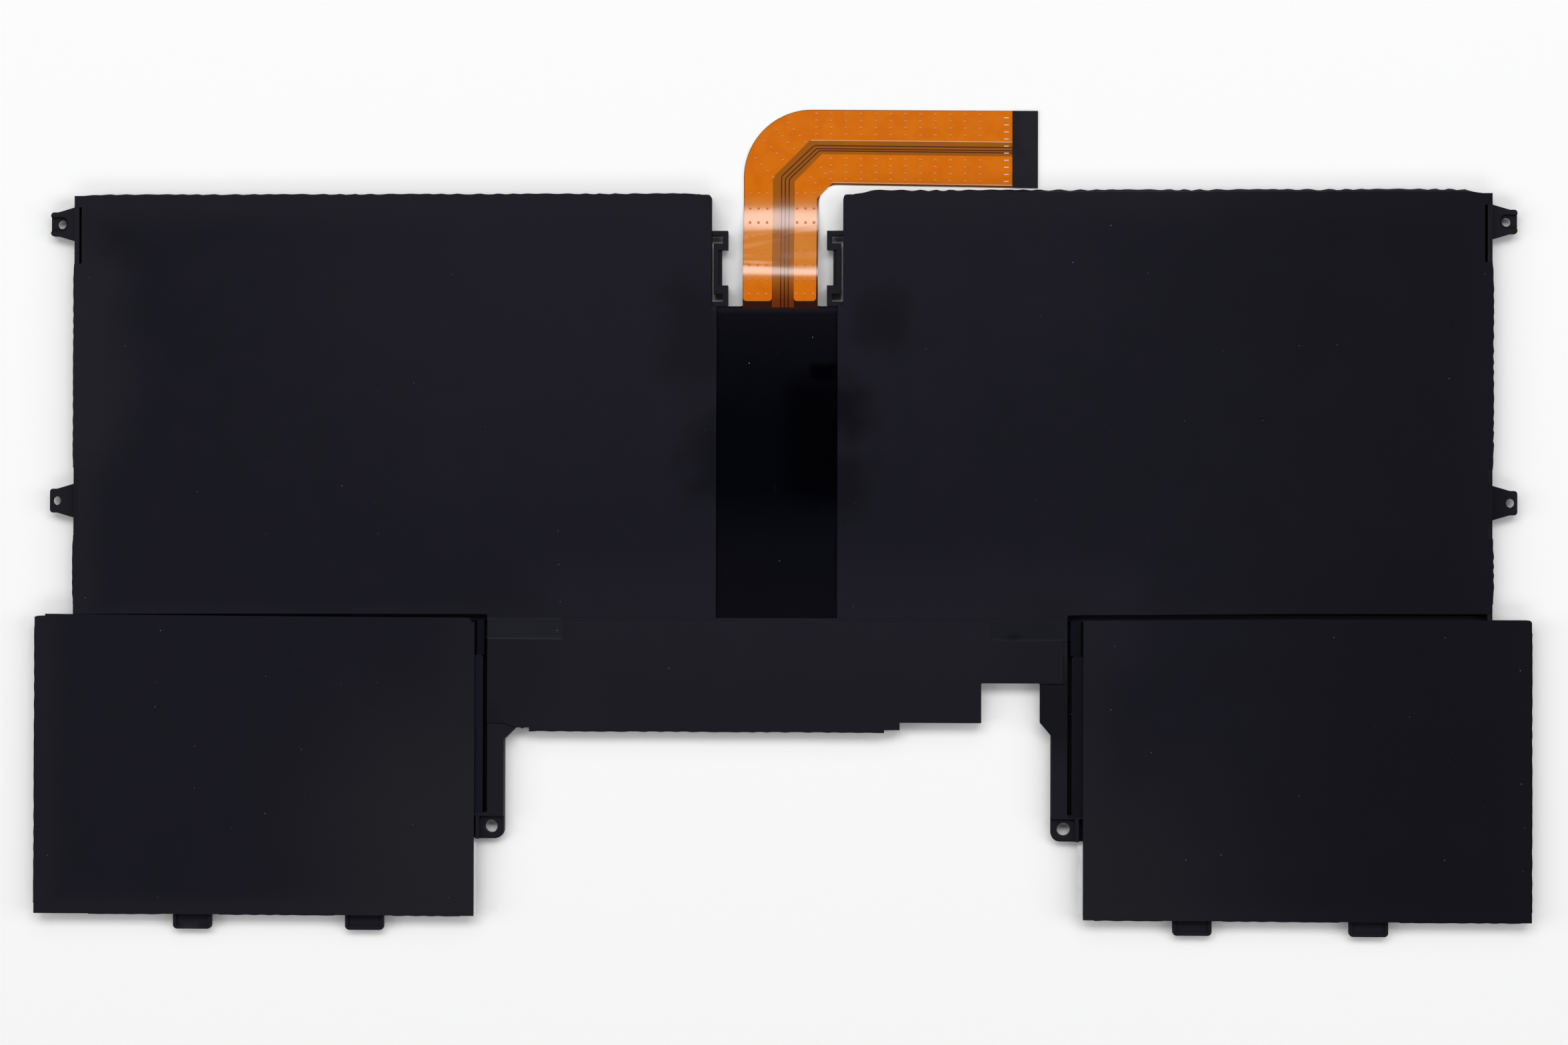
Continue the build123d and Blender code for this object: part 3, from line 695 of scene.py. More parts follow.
@dataclass(frozen=True)
class Finish:
    """One surface finish; its colour is written as it shows on a screen."""

    slot: str
    colour: Colour
    roughness: float
    specular: float = 0.5
    metallic: float = 0.0
    coat: float = 0.0
    coat_roughness: float = 0.15
    alpha: float = 1.0
    grain_pitch: float = 0.2
    grain_depth: float = 0.01
    roughness_drift: float = 0.06
    drift_size: float = 11.0
    tints: tuple[Tint, ...] = ()
    edges: RubbedEdges | None = None
    matte: Matte | None = None
    ior: float = 1.5

    def material(self) -> bpy.types.Material:
        """Build the finish as a material, once.

        Returns:
            The material.
        """
        name = f"{self.slot}_surface"
        found = bpy.data.materials.get(name)
        if found:
            return found
        material = bpy.data.materials.new(name)
        material.use_nodes = True
        material.node_tree.nodes.clear()
        bench = Bench(material.node_tree)
        shader = bench.add("BsdfPrincipled", Metallic=self.metallic, Alpha=self.alpha)
        shader.inputs["Specular IOR Level"].default_value = self.specular
        shader.inputs["IOR"].default_value = self.ior
        shader.inputs["Coat Weight"].default_value = self.coat
        shader.inputs["Coat Roughness"].default_value = self.coat_roughness
        colour: object = linear(self.colour)
        for tint in self.tints:
            share = bench.sum("MULTIPLY", tint.mask(bench), tint.strength)
            colour = bench.mix(share, colour, linear(tint.tint))
        grain = bench.group(Effect.GRAIN, Pitch=self.grain_pitch).outputs["Height"]
        bump = bench.add("Bump", Strength=1.0, Distance=self.grain_depth * MM, Height=grain)
        if self.edges:
            worn_lit = bench.group(Effect.EDGES, Radius=self.edges.radius)
            share = bench.sum("MULTIPLY", worn_lit.outputs["Mask"], self.edges.strength)
            colour = bench.mix(share, colour, linear(self.edges.tint))
            bench.feed(bump.inputs["Normal"], worn_lit.outputs["Normal"])
        if isinstance(colour, Socket):
            bench.feed(shader.inputs["Base Color"], colour)
        else:
            shader.inputs["Base Color"].default_value = colour
        drift = bench.group(Effect.CLOUDS, Size=self.drift_size).outputs["Mask"]
        rough = bench.sum("MULTIPLY_ADD", drift, self.roughness_drift, self.roughness)
        if self.matte:
            marked = bench.add("Attribute", {"attribute_name": self.matte.marked}).outputs["Fac"]
            rough = bench.sum("MULTIPLY_ADD", marked, self.matte.amount, rough)
        bench.feed(shader.inputs["Roughness"], rough)
        bench.feed(shader.inputs["Normal"], bump.outputs["Normal"])
        output = bench.add("OutputMaterial")
        bench.feed(output.inputs["Surface"], shader.outputs["BSDF"])
        return material

    def dress(self, *objects: bpy.types.Object) -> None:
        """Give the finish to objects, in place of any that they have."""
        for obj in objects:
            obj.data.materials.clear()
            obj.data.materials.append(self.material())


DUST = Specks((150, 152, 160), spacing=7.0, radius=0.10, share=0.16, strength=0.35)

# Painted light and shade on the frame, as soft boxes of tint.
FRAME_LIGHT_AND_SHADE = (
    # Painted shade in the grooves and on the walls beside the lower cells.
    Zone((4, 6, 20), (57.05, -22.15), (1.25, 15.15), soft=0.05, strength=0.85, both=True),
    Zone((0, 0, 3), (55.58, -18.5), (0.40, 18.5), soft=0.06, both=True),
    # Painted shade over the right arm.
    Zone((2, 3, 10), (52.0, -17.5), (2.6, 4.0), soft=8.0, strength=0.8),
    # More painted shade on the right-hand groove wall.
    Zone((0, 0, 8), (57.1, -22.0), (1.6, 15.5), soft=0.4, strength=0.85),
    # Painted shade ringing the pockets of the upper ears, with a paler middle.
    Zone((0, 0, 6), (139.4, 75.2), (2.3, 1.15), soft=0.45, strength=0.75, both=True),
    Zone((17, 17, 26), (139.1, 75.2), (1.5, 0.55), soft=0.5, strength=0.9, both=True),
    # Painted shade where the ears meet the body.
    Zone((5, 5, 15), (135.0, 75.0), (0.5, 3.0), soft=4.0, strength=0.6),
    Zone((2, 2, 11), (135.6, 22.1), (1.0, 3.0), soft=4.0, strength=0.85),
    Zone((7, 7, 17), (-134.5, 22.1), (0.4, 3.0), soft=3.0, strength=0.6),
    # Painted highlight on the left foot.
    Zone((36, 38, 44), (-112.3, -60.2), (1.0, 0.7), soft=1.3, strength=0.6, uneven=1.0),
)
FRAME_PLASTIC = Finish(
    "frame_plastic", (15, 15, 24), roughness=0.52, specular=0.12, grain_pitch=0.14, grain_depth=0.012,
    tints=(Clouds((18, 18, 27), size=5.0, strength=0.6), *FRAME_LIGHT_AND_SHADE, DUST),
    # Paler edges: partly wear, partly painted highlight.
    edges=RubbedEdges((40, 40, 49), radius=0.14, strength=0.5))
# Painted light and shade across the cover films, then real dark smudges beside the channel.
COVER_LIGHT_SHADE_AND_SMUDGES = (
    # Painted shade over the right-hand cells.
    Zone((11, 11, 20), (140.0, 20.0), (10.0, 100.0), soft=85.0, strength=0.75),
    Zone((8, 8, 16), (132.0, -40.0), (12.0, 35.0), soft=35.0, strength=0.4),
    # Painted light: paler tops, a paler band along the seam, a paler outer edge on the left, paler lower
    # cells and paler film beside the arms.
    Zone((25, 24, 33), (-35.0, 75.0), (15.0, 8.0), soft=80.0, strength=0.8),
    Zone((25, 24, 33), (35.0, 78.0), (10.0, 5.0), soft=50.0, strength=0.5),
    Zone((25, 24, 33), (12.0, 1.0), (52.0, 3.0), soft=14.0, strength=0.7),
    Zone((30, 29, 37), (-134.0, 50.0), (3.0, 14.0), soft=12.0, strength=0.6, uneven=6.0),
    Zone((28, 27, 32), (-62.0, -50.0), (2.0, 10.0), soft=42.0),
    Zone((27, 26, 31), (62.0, -54.0), (2.0, 4.0), soft=35.0, strength=0.8),
    Zone((20, 19, 27), (51.0, -10.0), (2.0, 8.0), soft=12.0, strength=0.6, both=True),
    # Dark smudges beside the channel.
    Zone((5, 5, 15), (-12.0, 30.0), (0.2, 3.0), soft=9.0, strength=0.85, uneven=9.0),
    Zone((7, 7, 17), (-15.0, 54.0), (0.2, 5.0), soft=11.0, strength=0.5, uneven=9.0),
    Zone((2, 2, 12), (13.0, 40.0), (0.2, 1.0), soft=8.0, strength=0.95, uneven=8.0),
    Zone((5, 5, 15), (13.0, 25.0), (0.2, 2.0), soft=8.5, strength=0.75, uneven=9.0),
    Zone((7, 7, 17), (20.0, 57.0), (0.5, 1.0), soft=8.0, strength=0.65, uneven=9.0),
)
COVER_FILM = Finish(
    "cover_film", (18, 17, 27), roughness=0.62, specular=0.08, grain_pitch=0.22, grain_depth=0.006,
    tints=(Clouds((20, 19, 29), size=26.0, strength=0.7),
           Clouds((14, 14, 23), size=7.0, cover=0.42, strength=0.45),
           # The paler band along the edges is a painted sheen, and the darkest band is painted shade on the
           # board film.
           Band((24, 23, 31), "margin"), *COVER_LIGHT_SHADE_AND_SMUDGES, Band((9, 9, 16), "shade_and_smudge", strength=0.8),
           Hairlines((50, 50, 58), length=9.0, angle=1.2, share=0.1, strength=0.12), DUST))
BLACK_TAPE = Finish(
    "black_tape", (0, 1, 5), roughness=0.42, specular=0.008, grain_pitch=0.35, grain_depth=0.006,
    # The paler band is a painted sheen on the rounded front edge and towards both ends of the tape.
    tints=(Clouds((2, 4, 10), size=12.0, strength=0.6), Band((24, 23, 30), "margin"),
           # Painted shade in a crease, then a darker patch on the right half of the tape.
           Zone((0, 0, 2), (9.2, 47.0), (2.0, 0.7), soft=1.6, strength=0.95, uneven=2.0),
           Zone((0, 0, 2), (8.5, 34.0), (3.5, 8.0), soft=7.0, strength=0.8),
           Hairlines((60, 60, 68), length=7.0, angle=1.45, share=0.12, strength=0.25),
           Specks((170, 172, 178), spacing=6.0, radius=0.10, share=0.14, strength=0.45)))
PATCH_TAPE = Finish(
    "patch_tape", (16, 16, 25), roughness=0.52, specular=0.08, grain_pitch=0.3, grain_depth=0.006,
    # The paler band is a painted highlight along the lower edge of each patch; the dark band is a smudge.
    tints=(Clouds((22, 22, 31), size=4.0, strength=0.7), Band((58, 58, 66), "margin", strength=0.5),
           Band((4, 4, 10), "shade_and_smudge", strength=0.8), DUST))
LEAD_TAPE = Finish(
    "lead_tape", (11, 12, 20), roughness=0.6, specular=0.03, grain_pitch=0.3, grain_depth=0.006,
    # The black band is painted shade beside the bay, over the tongue and under the cover's edge.
    tints=(Clouds((17, 17, 25), size=3.0, strength=0.6), Band((0, 0, 2), "shade_and_smudge")))
CLEAR_FILM = Finish(
    "clear_film", (206, 207, 212), roughness=0.16, alpha=0.38, grain_pitch=1.2, grain_depth=0.01,
    tints=(Clouds((232, 233, 236), size=3.0, strength=0.6),))
POUCH_FOIL = Finish(
    "pouch_foil", (168, 170, 174), roughness=0.34, metallic=0.9, grain_pitch=0.5, grain_depth=0.01,
    tints=(Clouds((148, 150, 156), size=9.0, strength=0.5),))
ADHESIVE = Finish(
    "adhesive_sheet", (205, 206, 202), roughness=0.6, grain_pitch=0.4, grain_depth=0.01,
    tints=(Clouds((190, 190, 186), size=6.0, strength=0.5),))
FLEX_FILM = Finish(
    "flex_film", (120, 60, 12), roughness=0.08, specular=1.0, ior=1.58, roughness_drift=0.02,
    grain_pitch=0.5, grain_depth=0.004, matte=Matte("bent", 0.12),
    tints=(Clouds((104, 48, 8), size=5.0, strength=0.6), Band((44, 16, 4), "shade")))
FLEX_STRIP = replace(
    FLEX_FILM, slot="flex_strip", colour=(172, 98, 14),
    tints=(Clouds((150, 84, 18), size=9.0, strength=0.6), Band((110, 42, 3), "shade")))
FLEX_COPPER = replace(
    FLEX_FILM, slot="flex_copper", colour=(222, 114, 3),
    tints=(Clouds((214, 106, 2), size=7.0, strength=0.8),
           Clouds((228, 124, 10), size=3.0, cover=0.4, strength=0.5),
           # The yellower band is a painted reflection on the slope between the bends.
           Band((213, 126, 16), "stretched", strength=0.85)))
FLEX_GAP = replace(
    FLEX_FILM, slot="flex_gap", colour=(98, 42, 6), roughness=0.12,
    tints=(Clouds((84, 36, 6), size=4.0, strength=0.6), Band((40, 12, 2), "shade")))
FLEX_VIA = Finish(
    "flex_via", (214, 110, 4), roughness=0.20, specular=0.5, grain_pitch=0.5, grain_depth=0.004,
    tints=(Clouds((204, 100, 3), size=7.0, strength=0.8),))
# Painted highlight along the lower edges of the copper pours.
FLEX_EDGE_HIGHLIGHT = Finish(
    "flex_edge_highlight", (232, 186, 140), roughness=0.26, specular=0.5, coat=0.5, coat_roughness=0.16,
    grain_pitch=0.4, grain_depth=0.004, tints=(Clouds((206, 130, 70), size=6.0, strength=0.6),))
TICK_PAINT = Finish(
    "tick_paint", (226, 214, 202), roughness=0.5, grain_pitch=0.2, grain_depth=0.004,
    tints=(Clouds((208, 190, 172), size=0.8, strength=0.7),))
STIFFENER = Finish(
    "stiffener_plate", (16, 15, 22), roughness=0.46, specular=0.10, grain_pitch=0.25, grain_depth=0.006,
    # Paler edges: partly wear, partly painted highlight.
    tints=(Clouds((28, 28, 34), size=5.0, strength=0.7), DUST), edges=RubbedEdges((60, 60, 66), radius=0.06))
GOLD = Finish(
    "gold_contact", (212, 170, 92), roughness=0.24, metallic=1.0, grain_pitch=0.2, grain_depth=0.003,
    tints=(Clouds((196, 150, 74), size=1.5, strength=0.6),))
BOARD = Finish(
    "circuit_board", (24, 62, 40), roughness=0.42, grain_pitch=0.4, grain_depth=0.008,
    tints=(Clouds((30, 74, 48), size=3.0, strength=0.6),))
RESIN = Finish(
    "chip_resin", (28, 28, 30), roughness=0.6, grain_pitch=0.12, grain_depth=0.01,
    tints=(Clouds((38, 38, 40), size=1.0, strength=0.6),))
CERAMIC = Finish(
    "fuse_ceramic", (214, 206, 190), roughness=0.5, grain_pitch=0.15, grain_depth=0.006,
    tints=(Clouds((196, 188, 172), size=1.0, strength=0.6),))
ALUMINIUM = Finish(
    "aluminium_tab", (188, 190, 194), roughness=0.3, metallic=1.0, grain_pitch=0.2, grain_depth=0.004,
    tints=(Clouds((170, 172, 178), size=1.5, strength=0.6),))
NICKEL = Finish(
    "nickel_tab", (172, 166, 154), roughness=0.32, metallic=1.0, grain_pitch=0.2, grain_depth=0.004,
    tints=(Clouds((156, 150, 138), size=1.5, strength=0.6),))

SOLID_FINISHES: dict[str, Finish] = {
    "frame": FRAME_PLASTIC,
    "_back_film": COVER_FILM,
    "_cell": POUCH_FOIL,
    "_adhesive": ADHESIVE,
    "_edge_film": CLEAR_FILM,
    "flex_stiffener": STIFFENER,
    "flex_contacts": GOLD,
    "protection_board": BOARD,
    "switch_transistors": RESIN,
    "gauge_chip": RESIN,
    "protector_chip": RESIN,
    "safety_fuse": CERAMIC,
    "sense_resistor": RESIN,
    "capacitors": CERAMIC,
    "resistors": RESIN,
    "temperature_sensor": CERAMIC,
    "_positive_tab": ALUMINIUM,
    "_negative_tab": NICKEL,
}


def dress_solids() -> None:
    """Give each solid that stays in view or inside its finish."""
    for name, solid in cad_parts.items():
        for ending, finish in SOLID_FINISHES.items():
            if name.endswith(ending):
                finish.dress(solid)
                LOG.info("%s: finish %s", name, finish.slot)


@dataclass(frozen=True)
class Flap:
    """Stretch of a cover film that is folded down over a wall.

    Attributes:
        edge: edge of the cover that it hangs from.
        start: where it starts along that edge.
        end: where it ends.
        stand_off: how far its lower edge stands away from the wall.
        phase: shift of its waves.
        pitch: length of its waves.
    """

    edge: Edge
    start: float
    end: float
    stand_off: float = 0.0
    phase: float = 0.0
    pitch: float = 3.4


@dataclass
class CoverFilm:
    """Film over one cell: a sheet over the cell and the flaps folded down over the frame's walls."""

    side: Side
    level: str
    seam_edge: tuple[Plan, ...] = ((0.0, 0.0),)
    seam_reach: float = 10.0
    thickness: float = 0.10
    fold_radius: float = 0.28
    sag: float = 0.05
    margin_width: float = 8.0
    corner_gap: float = 2.0
    corner_cut: float = 0.7
    wave_depth: float = 0.30
    step: float = 0.8
    side_step: float = 0.8
    flap_rows: int = 5
    wall_step: float = 0.15
    lip: float = 0.1
    fold_angles: tuple[float, ...] = (0.0, 22.5, 45.0, 67.5, 90.0)
    fold_share: float = 0.35
    end_ease: float = 3.0
    margin_start: float = 0.1
    sway_depth: float = 0.012
    sway_x: float = 6.1
    sway_y: float = 7.7
    sway_lean: float = 31.0
    sway_drift: float = 1.3
    sway_drift_y: float = 9.0
    flaps: list[Flap] = field(default_factory=list)

    def __post_init__(self) -> None:
        """Take the outer limits from the solid that the film stands for."""
        self.node = f"{self.level}_{self.side.word}_cover"
        low, high = node_box(self.node)
        if self.side is Side.LEFT:
            low.x, high.x = -high.x, -low.x
        self.inner, self.outer = low.x, high.x
        self.bottom, self.top = low.y, high.y
        self.low, self.high = low.z, high.z

    def sheet_lines(self) -> tuple[list[float], list[float]]:
        """Stops of the sheet's grid along x and along y."""
        raise NotImplementedError

    def inside(self, x: float, y: float) -> bool:
        """Whether the sheet covers a place, flaps apart."""
        raise NotImplementedError

    def warp(self, x: float, y: float) -> Plan:
        """Where a place of the straight sheet comes to lie, once its edge follows the seam."""
        near = max(0.0, 1 - abs(y) / self.seam_reach)
        return x, y + along_line(self.seam_edge, x) * near

    def seam_stops(self) -> list[float]:
        """Places along x at which the edge at the seam turns."""
        return [x for x, _ in self.seam_edge if self.inner < x < self.outer - self.fold_radius]

    def depth_in(self, x: float, y: float) -> float:
        """Distance of a place from the nearest edge that slopes down."""
        raise NotImplementedError

    def margin(self, x: float, y: float) -> float:
        """How much a place takes the painted sheen along the edges that slope down."""
        return 1 - smooth(self.margin_start * self.margin_width, self.margin_width, self.depth_in(x, y))

    def height(self, x: float, y: float) -> float:
        """Height of the sheet's upper face."""
        slope = smooth(0.0, self.margin_width, self.depth_in(x, y))
        drift = self.sway_drift * math.sin(y / self.sway_drift_y)
        wave = math.sin(x / self.sway_x + drift) * math.sin(y / self.sway_y + x / self.sway_lean)
        return self.high - self.sag * (1 - slope) - self.sway_depth * (0.5 + 0.5 * wave)

    def settled(self, x: float, y: float) -> Point:
        """Where a place of the straight sheet comes to lie, with its height."""
        return (*self.warp(x, y), self.height(x, y))

    def flap_rows_of(self, flap: Flap, lines: list[float]) -> list[list[Point]]:
        """Rows of points down one flap.

        Args:
            flap: the flap.
            lines: positions along its edge.

        Returns:
            Rows from the fold to the lower edge.
        """
        radius = self.fold_radius
        along = [line for line in lines if flap.start - TOLERANCE <= line <= flap.end + TOLERANCE]
        if flap.edge is not Edge.TOP:
            along.reverse()
        middle = (flap.start + flap.end) / 2
        shrink = 2 * self.corner_cut / (flap.end - flap.start)
        edge = {Edge.TOP: self.top, Edge.OUTER: self.outer, Edge.BOTTOM: -self.bottom}[flap.edge]
        drops = [(math.radians(angle), 0.0) for angle in self.fold_angles]
        drops += [(drops[-1][0], (i + 1) / self.flap_rows) for i in range(self.flap_rows)]
        rows = []
        for angle, share in drops:
            row = []
            for at in along:
                wave = self.wave_depth * ripple(at, flap.pitch, flap.phase)
                ends = smooth(0.0, self.end_ease, min(at - flap.start, flap.end - at))
                spread = (flap.stand_off * ends - wave) * (self.fold_share + (1 - self.fold_share) * share)
                out = edge - radius * (1 - math.sin(angle)) + spread * math.sin(angle)
                here = middle + (at - middle) * (1 - shrink * share)
                crest = self.height(*flap.edge.plan(at, edge - radius))
                z = crest - radius * (1 - math.cos(angle)) - (crest - radius - self.low) * share
                row.append((*self.warp(*flap.edge.plan(here, out)), z))
            rows.append(row)
        return rows

    def build(self) -> bpy.types.Object:
        """Build and dress the film.

        Returns:
            The film.
        """
        stops_x, stops_y = self.sheet_lines()
        lines_x, lines_y = spaced(stops_x, self.step), spaced(stops_y, self.side_step)
        film = Sheet(f"{self.level}_{self.side.word}_film", self.side)
        film.cut(lines_x, lines_y, self.settled, self.inside)
        for flap in self.flaps:
            along = lines_y if flap.edge is Edge.OUTER else lines_x
            film.patch(self.flap_rows_of(flap, along))
        obj = film.make(self.thickness, {"margin": self.margin})
        return place(obj, COVER_FILM, "cover_film", self.node)


@dataclass
class UpperCover(CoverFilm):
    """Film over an upper cell, cut out beside the two side ears and at the channel."""

    level: str = "upper"
    side_step: float = 0.5
    channel_reach: float = 1.0
    channel_top: float = 58.4
    channel_corner: float = 1.0
    corner_lines: int = 3
    notch_in: float = 1.55
    notch_low: float = 67.55
    notch_high: float = 78.35
    lower_notch_in: float = 1.05
    lower_notch_low: float = 15.4
    lower_notch_high: float = 28.4
    top_stand_off: float = 0.0
    side_stand_off: float = 0.35
    side_pitch: float = 2.4
    top_phase: float = 0.4
    side_phases: tuple[float, float] = (1.3, 2.2)
    seam_slope: float = 1.6
    seam_depth: float = 2.0

    def __post_init__(self) -> None:
        """Lay out the flaps between the corners and the ears."""
        super().__post_init__()
        self.edge_x = self.inner + self.channel_reach
        wall_x = self.outer - self.wall_step
        first, last = self.edge_x + self.lip + self.corner_gap, wall_x - self.corner_gap
        self.flaps = [Flap(Edge.TOP, first, last, self.top_stand_off, self.top_phase * self.side.value)]
        stretches = ((self.lower_notch_high, self.notch_low), (self.corner_gap, self.lower_notch_low))
        for (start, end), phase in zip(stretches, self.side_phases):
            self.flaps.append(Flap(Edge.OUTER, start, end, self.side_stand_off, phase + self.side.value,
                                   self.side_pitch))

    def sheet_lines(self) -> tuple[list[float], list[float]]:
        """Stops of the sheet's grid along x and along y."""
        wall_x, wall_y = self.outer - self.wall_step, self.top - self.wall_step
        top, *sides = self.flaps
        rounding = [self.channel_corner * i / self.corner_lines for i in range(self.corner_lines + 1)]
        stops_x = [self.inner, self.outer - self.notch_in, self.outer - self.lower_notch_in,
                   self.outer - self.fold_radius, wall_x, top.start, top.end]
        stops_x += [self.edge_x + inset for inset in rounding] + self.seam_stops()
        stops_y = [self.bottom, self.channel_top, self.top - self.fold_radius, self.notch_high]
        stops_y += [wall_y - inset for inset in rounding]
        stops_y += [stop for flap in sides for stop in (flap.start, flap.end)]
        return stops_x, stops_y

    def inside(self, x: float, y: float) -> bool:
        """Whether the sheet covers a place, flaps apart."""
        if x < self.edge_x:
            return y < self.channel_top
        if x > self.outer - self.notch_in and self.notch_low < y < self.notch_high:
            return False
        if x > self.outer - self.lower_notch_in and self.lower_notch_low < y < self.lower_notch_high:
            return False
        top, *sides = self.flaps
        if y > self.top - self.fold_radius and top.start < x < top.end:
            return False
        beyond = x > self.outer - self.fold_radius
        return not (beyond and any(flap.start < y < flap.end for flap in sides))

    def warp(self, x: float, y: float) -> Plan:
        """Let the edge follow the seam, and round the corner of the sheet at the top of the channel."""
        radius = self.channel_corner
        wall_y = self.top - self.wall_step
        across, up = (self.edge_x + radius - x) / radius, (y - wall_y + radius) / radius
        if not (0 <= across <= 1 + TOLERANCE and 0 <= up <= 1 + TOLERANCE):
            return super().warp(x, y)
        return (self.edge_x + radius - radius * across * math.sqrt(1 - up * up / 2),
                wall_y - radius + radius * up * math.sqrt(1 - across * across / 2))

    def depth_in(self, x: float, y: float) -> float:
        """Distance of a place from the nearest edge that slopes down."""
        near_seam = self.seam_slope * (y - self.bottom) + self.seam_depth
        return max(0.0, min(self.outer - x, self.top - y, near_seam))


@dataclass
class LowerCover(CoverFilm):
    """Film over a lower cell, with flaps between the foot tabs."""

    level: str = "lower"
    overhang: float = 0.0
    foot_positions: tuple[float, float] = (78.8, 112.0)
    foot_gap: float = 5.6
    bare_corner: float = 0.0
    phase_shift: float = 0.9
    bottom_slope: float = 1.4
    inner_slope: float = 0.75
    inner_depth: float = 1.0

    def __post_init__(self) -> None:
        """Lay out the flaps between the corners and the feet."""
        super().__post_init__()
        wall_x = self.outer - self.wall_step
        stops = [self.inner + self.lip + self.corner_gap]
        self.inner -= self.overhang
        for foot in self.foot_positions:
            stops += [foot - self.foot_gap, foot + self.foot_gap]
        stops.append(wall_x - max(self.corner_gap, self.bare_corner))
        shift = self.phase_shift * self.side.value
        self.flaps = [Flap(Edge.BOTTOM, start, end, 0.0, shift + start)
                      for start, end in zip(stops[0::2], stops[1::2])]
        side_low = self.bottom + self.wall_step + self.corner_gap
        self.flaps.append(Flap(Edge.OUTER, side_low, -self.corner_gap, 0.0, shift))

    def sheet_lines(self) -> tuple[list[float], list[float]]:
        """Stops of the sheet's grid along x and along y."""
        *bottoms, side = self.flaps
        stops_x = [self.inner, self.outer - self.fold_radius, self.outer - self.wall_step]
        stops_x += [stop for flap in bottoms for stop in (flap.start, flap.end)] + self.seam_stops()
        stops_y = [self.bottom + self.wall_step, self.bottom + self.fold_radius, -self.seam_reach, 0.0,
                   side.start, side.end]
        return stops_x, stops_y

    def inside(self, x: float, y: float) -> bool:
        """Whether the sheet covers a place, flaps apart."""
        *bottoms, side = self.flaps
        if y < self.bottom + self.fold_radius and any(flap.start < x < flap.end for flap in bottoms):
            return False
        return not (x > self.outer - self.fold_radius and side.start < y < side.end)

    def depth_in(self, x: float, y: float) -> float:
        """Distance of a place from the nearest edge that slopes down."""
        near_bottom = self.bottom_slope * (y - self.bottom)
        near_inner = self.inner_slope * (x - self.inner) + self.inner_depth
        return max(0.0, min(self.outer - x, near_bottom, near_inner))


UPPER_LEFT_SEAM = ((55.15, 0.0), (55.20, 0.58), (58.0, 0.61), (100.0, 0.56), (134.9, 0.40))
UPPER_RIGHT_SEAM = ((55.15, 0.0), (55.20, 0.66), (58.0, 0.74), (100.0, 1.10), (134.9, 1.17))
LOWER_LEFT_SEAM = ((57.6, -0.90), (58.47, -0.90), (58.52, -0.13), (100.0, 0.06), (140.30, 0.40),
                   (140.35, -0.15))
LOWER_RIGHT_SEAM = ((58.1, -0.35), (100.0, 0.05), (141.75, -0.08), (142.0, -0.16), (142.2, -0.32),
                    (142.35, -0.55))


